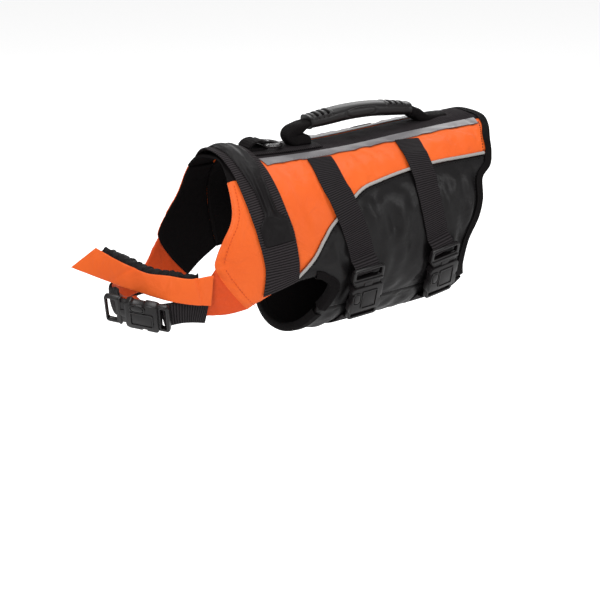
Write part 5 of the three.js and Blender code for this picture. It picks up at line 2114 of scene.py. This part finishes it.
@dataclass
class LeadRing:
    """The lead ring and the webbing tab that holds it."""

    shop: Workshop
    y: float = -101.0
    z: float = 10.2
    wire: float = 2.3
    half: float = 16.0
    reach: float = 22.0
    dip: float = 0.09

    def ring(self) -> None:
        """The ring: a straight bar and a round bow, swept with a round wire."""
        inner, depth = self.half - self.wire, self.reach - self.wire
        bow, bend = inner * 0.82, 2.6
        places: list[tuple[float, float]] = []
        places += [((2 * t - 1) * (inner - bend), 0.0) for t in np.linspace(0, 1, 12)]
        places += [
            (inner - bend + bend * math.sin(a), bend - bend * math.cos(a))
            for a in np.linspace(0, math.pi / 2, 7)[1:]
        ]
        places += [
            (inner * math.cos(a), depth - bow * (1 - math.sin(a)))
            for a in np.linspace(0, math.pi, 33)
        ]
        places += [
            (-inner + bend - bend * math.cos(a), bend - bend * math.sin(a))
            for a in np.linspace(0, math.pi / 2, 7)[:-1]
        ]
        path = np.array([*places, places[0]])
        arcs = np.r_[0, np.cumsum(np.linalg.norm(np.diff(path, axis=0), axis=1))]

        def centre(u: Array) -> Array:
            """The wire's middle line, flat in the ring's own plane."""
            s = (u % 1.0) * arcs[-1]
            return np.stack([np.interp(s, arcs, path[:, 0]), np.interp(s, arcs, path[:, 1])], -1)

        def face(u: Array, w: Array) -> Array:
            """The wire's round face."""
            p = centre(u)
            run = centre(u + 0.004) - centre(u - 0.004)
            run = run / np.linalg.norm(run, axis=-1, keepdims=True)
            angle = w * 2 * math.pi
            out, up = self.wire * np.cos(angle), self.wire * 0.94 * np.sin(angle)
            x = p[..., 0] + run[..., 1] * out
            back = p[..., 1] - run[..., 0] * out
            return np.stack(
                [
                    x,
                    self.y + back * math.cos(self.dip) + up * math.sin(self.dip),
                    self.z - back * math.sin(self.dip) + up * math.cos(self.dip),
                ],
                axis=-1,
            )

        self.shop.tube(
            "lead_ring_wire", 150, 20, face, (90, 14), COATED, "lead_ring", "ring", closed=True
        )

    def tab(self) -> None:
        """The tab: webbing that lies on the spine, turns around the bar and is sewn to itself."""
        path = [(-118.2, 7.4), (-113, 7.2), (-107, 7.1), (-103, 6.9)]
        path += [
            (self.y + 3.35 * math.cos(a), self.z + 3.35 * math.sin(a))
            for a in np.linspace(-math.pi / 2, math.pi * 0.62, 12)
        ]
        path += [(-105.5, 14.6), (-110, 14.4), (-114.5, 12.8), (-117.6, 10.0), (-118.6, 9.2)]
        points = np.array([(0.0, y, z) for y, z in path])

        def face(off: float, u: Array, w: Array) -> Array:
            """Points of the face."""
            centre = centripetal(points, u)
            run = unit(run_of(points, u, 0.01))
            out = np.stack([0 * u, run[..., 2], -run[..., 1]], axis=-1)
            wide = (2 * w - 1) * (10.8 + 0.25 * np.sin(u * 30))
            return centre + out * off + np.array([1.0, 0, 0]) * wide[..., None]

        made = self.shop.shell(
            "ring_tab_webbing", 90, 14, partial(face, 0.9), partial(face, -0.9), [CORE], "ring_tab",
            warp=lambda t: t,
        )
        self.shop.sheet(made, Held.FOLDED, ["spine_webbing_strip"])

    def build(self) -> None:
        """Makes the ring and its tab."""
        self.ring()
        self.tab()


# Sewing


@dataclass
class Sewing:
    """Rows of stitches that lie on the cloth."""

    shop: Workshop
    body: BodyForm
    cut: Pattern
    relief: Relief
    long: float = 2.3
    gap: float = 1.0
    thick: float = 0.42

    def row(self, bm: bmesh.types.BMesh, line: Line, height: Callable[[Array], Array]) -> None:
        """Adds a row of stitches along a line.

        Args:
            bm: the mesh that it joins.
            line: places by share of the line.
            height: its height over the form, by place.
        """
        share = np.linspace(0, 1, 200)
        points = self.body.lifted(line(share), height(line(share)))
        arcs = np.r_[0, np.cumsum(np.linalg.norm(np.diff(points, axis=0), axis=1))]
        count = int(arcs[-1] / (self.long + self.gap))
        for k in range(count):
            stitch = np.array([0.15, 0.15 + self.long / (self.long + self.gap)])
            ends = np.interp((k + stitch) * arcs[-1] / count, arcs, share)
            places = line(ends)
            a, b = self.body.lifted(places, height(places))
            normal = self.body.directions(places[:, 0], places[:, 1])[2][0]
            run = b - a
            made = bmesh.ops.create_icosphere(bm, subdivisions=1, radius=1.0)
            across = unit(np.cross(run, normal))
            axes = np.stack([run * 0.56, across * self.thick, normal * self.thick])
            place = Matrix.Identity(4)
            for c in range(3):
                for r in range(3):
                    place[r][c] = axes[c][r]
            for r in range(3):
                place[r][3] = (a + b)[r] / 2
            bmesh.ops.transform(bm, matrix=place, verts=made["verts"])

    def over(self, lift: float) -> Callable[[Array], Array]:
        """A height that follows the cloth."""
        return lambda places: np.maximum(self.relief.at(places), -0.3) + lift

    def beside(self, line: Line, start: float, share: float, aside: Array, t: Array) -> Array:
        """Places beside a share of a seam."""
        return line(start + share * np.asarray(t)) + aside

    def build(self) -> None:
        """Sews the black and the orange rows."""
        black, orange = bmesh.new(), bmesh.new()
        front, rear, piping = self.cut.shoulder_front, self.cut.rear, self.cut.piping
        for side in Side:
            for first, last in (((-111, 25.8), (136, 25.8)), ((-107, 36.2), (131, 36.2))):
                self.row(black, mirrored(straight(first, last), side), self.over(1.0))
            for bm, line, start, share, aside in (
                (black, rear, 0.2, 0.76, (-9.5, 0.0)),
                (orange, front, 0.72, 0.27, (4.0, -2.0)),
                (orange, front, 0.03, 0.62, (4.2, 0.0)),
                (black, piping, 0.1, 0.83, (1.5, 4.4)),
            ):
                beside = partial(self.beside, line, start, share, np.array(aside))
                self.row(bm, mirrored(beside, side), self.over(0.1))
        self.shop.piece("black_stitches", black, [BLACK_THREAD])
        self.shop.piece("orange_stitches", orange, [ORANGE_THREAD])


# Studio


@dataclass
class Studio:
    """The camera, the lights and the pale floor."""

    camera_at: tuple[float, float, float] = (1.2355, -0.7702, 0.3099)
    aim: tuple[float, float, float] = (0.0, -0.0569, -0.1536)
    lens: float = 90.0
    floor: float = -0.3

    def lamp(
        self, name: str, at: Sequence[float], aim: Sequence[float], size: float, power: float
    ) -> None:
        """A soft square light.

        Args:
            name: its name.
            at: where it stands.
            aim: what it faces.
            size: its side.
            power: its power in watts.
        """
        data = bpy.data.lights.new(name, "AREA")
        data.shape, data.size, data.energy = "SQUARE", size, power
        made = bpy.data.objects.new(name, data)
        made.location = at
        made.rotation_euler = (Vector(aim) - Vector(at)).to_track_quat("-Z", "Y").to_euler()
        bpy.context.scene.collection.objects.link(made)

    def seen(
        self, tree: bpy.types.NodeTree, socket: bpy.types.NodeSocket, way: str, *values: float
    ) -> None:
        """Makes a strength depend on whether the camera looks straight at it.

        Args:
            tree: the node tree.
            socket: the strength.
            way: the math operation on 1 for the camera and 0 for all else.
            *values: its other numbers.
        """
        n = Nodes(tree)
        ways = n.add("ShaderNodeLightPath")
        tree.links.new(n.math(way, ways.outputs["Is Camera Ray"], *values), socket)

    def build(self) -> None:
        """Sets up the camera, lights, world and floor."""
        scene = bpy.context.scene
        data = bpy.data.cameras.new("camera")
        data.lens, data.sensor_width = self.lens, 36.0
        camera = bpy.data.objects.new("camera", data)
        camera.location = self.camera_at
        aim = Vector(self.aim) - Vector(self.camera_at)
        camera.rotation_euler = aim.to_track_quat("-Z", "Y").to_euler()
        scene.collection.objects.link(camera)
        scene.camera = camera
        self.lamp("key", (1.0, -1.4, 1.4), (0, 0, -0.08), 0.6, 22)
        self.lamp("side", (1.9, 0.9, 0.6), (0, 0, -0.08), 0.6, 12)
        self.lamp("top", (-0.1, 0.1, 1.7), (0, 0, 0), 0.8, 15)
        self.lamp("rim", (-1.4, 1.1, 0.9), (0, 0, -0.05), 1.0, 8)
        world = bpy.data.worlds.new("studio")
        world.use_nodes = True
        back = world.node_tree.nodes["Background"]
        back.inputs["Color"].default_value = (1.0, 1.0, 1.0, 1.0)
        self.seen(world.node_tree, back.inputs["Strength"], "MULTIPLY_ADD", 0.55, 0.42)
        scene.world = world
        scene.view_settings.view_transform = "Standard"
        bm = bmesh.new()
        bmesh.ops.create_grid(bm, x_segments=1, y_segments=1, size=30.0)
        bmesh.ops.translate(bm, vec=(0, 0, self.floor), verts=bm.verts)
        floor = object_of("studio_floor", bm)
        paint = bpy.data.materials.new("floor_paint")
        paint.use_nodes = True
        shader = paint.node_tree.nodes["Principled BSDF"]
        shader.inputs["Base Color"].default_value = (0.96, 0.96, 0.96, 1.0)
        shader.inputs["Roughness"].default_value = 0.9
        shader.inputs["Emission Color"].default_value = (1.0, 1.0, 1.0, 1.0)
        self.seen(paint.node_tree, shader.inputs["Emission Strength"], "MULTIPLY", 0.5)
        floor.data.materials.append(paint)


def main() -> None:
    """Builds the jacket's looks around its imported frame."""
    logging.basicConfig(level=logging.INFO, format="%(message)s")
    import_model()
    shop = Workshop()
    body = BodyForm()
    cut = Pattern(body)
    relief = Relief(body, cut)
    Panels(shop, body, cut, relief).build()
    Trim(shop, body, cut, relief).build()
    Webbing(shop, body, cut, relief).build()
    for buckle in buckles(shop, body):
        buckle.build()
    ChinFloat(shop).build()
    Handle(shop).build()
    LeadRing(shop).build()
    Sewing(shop, body, cut, relief).build()
    Studio().build()


if __name__ == "__main__":
    main()
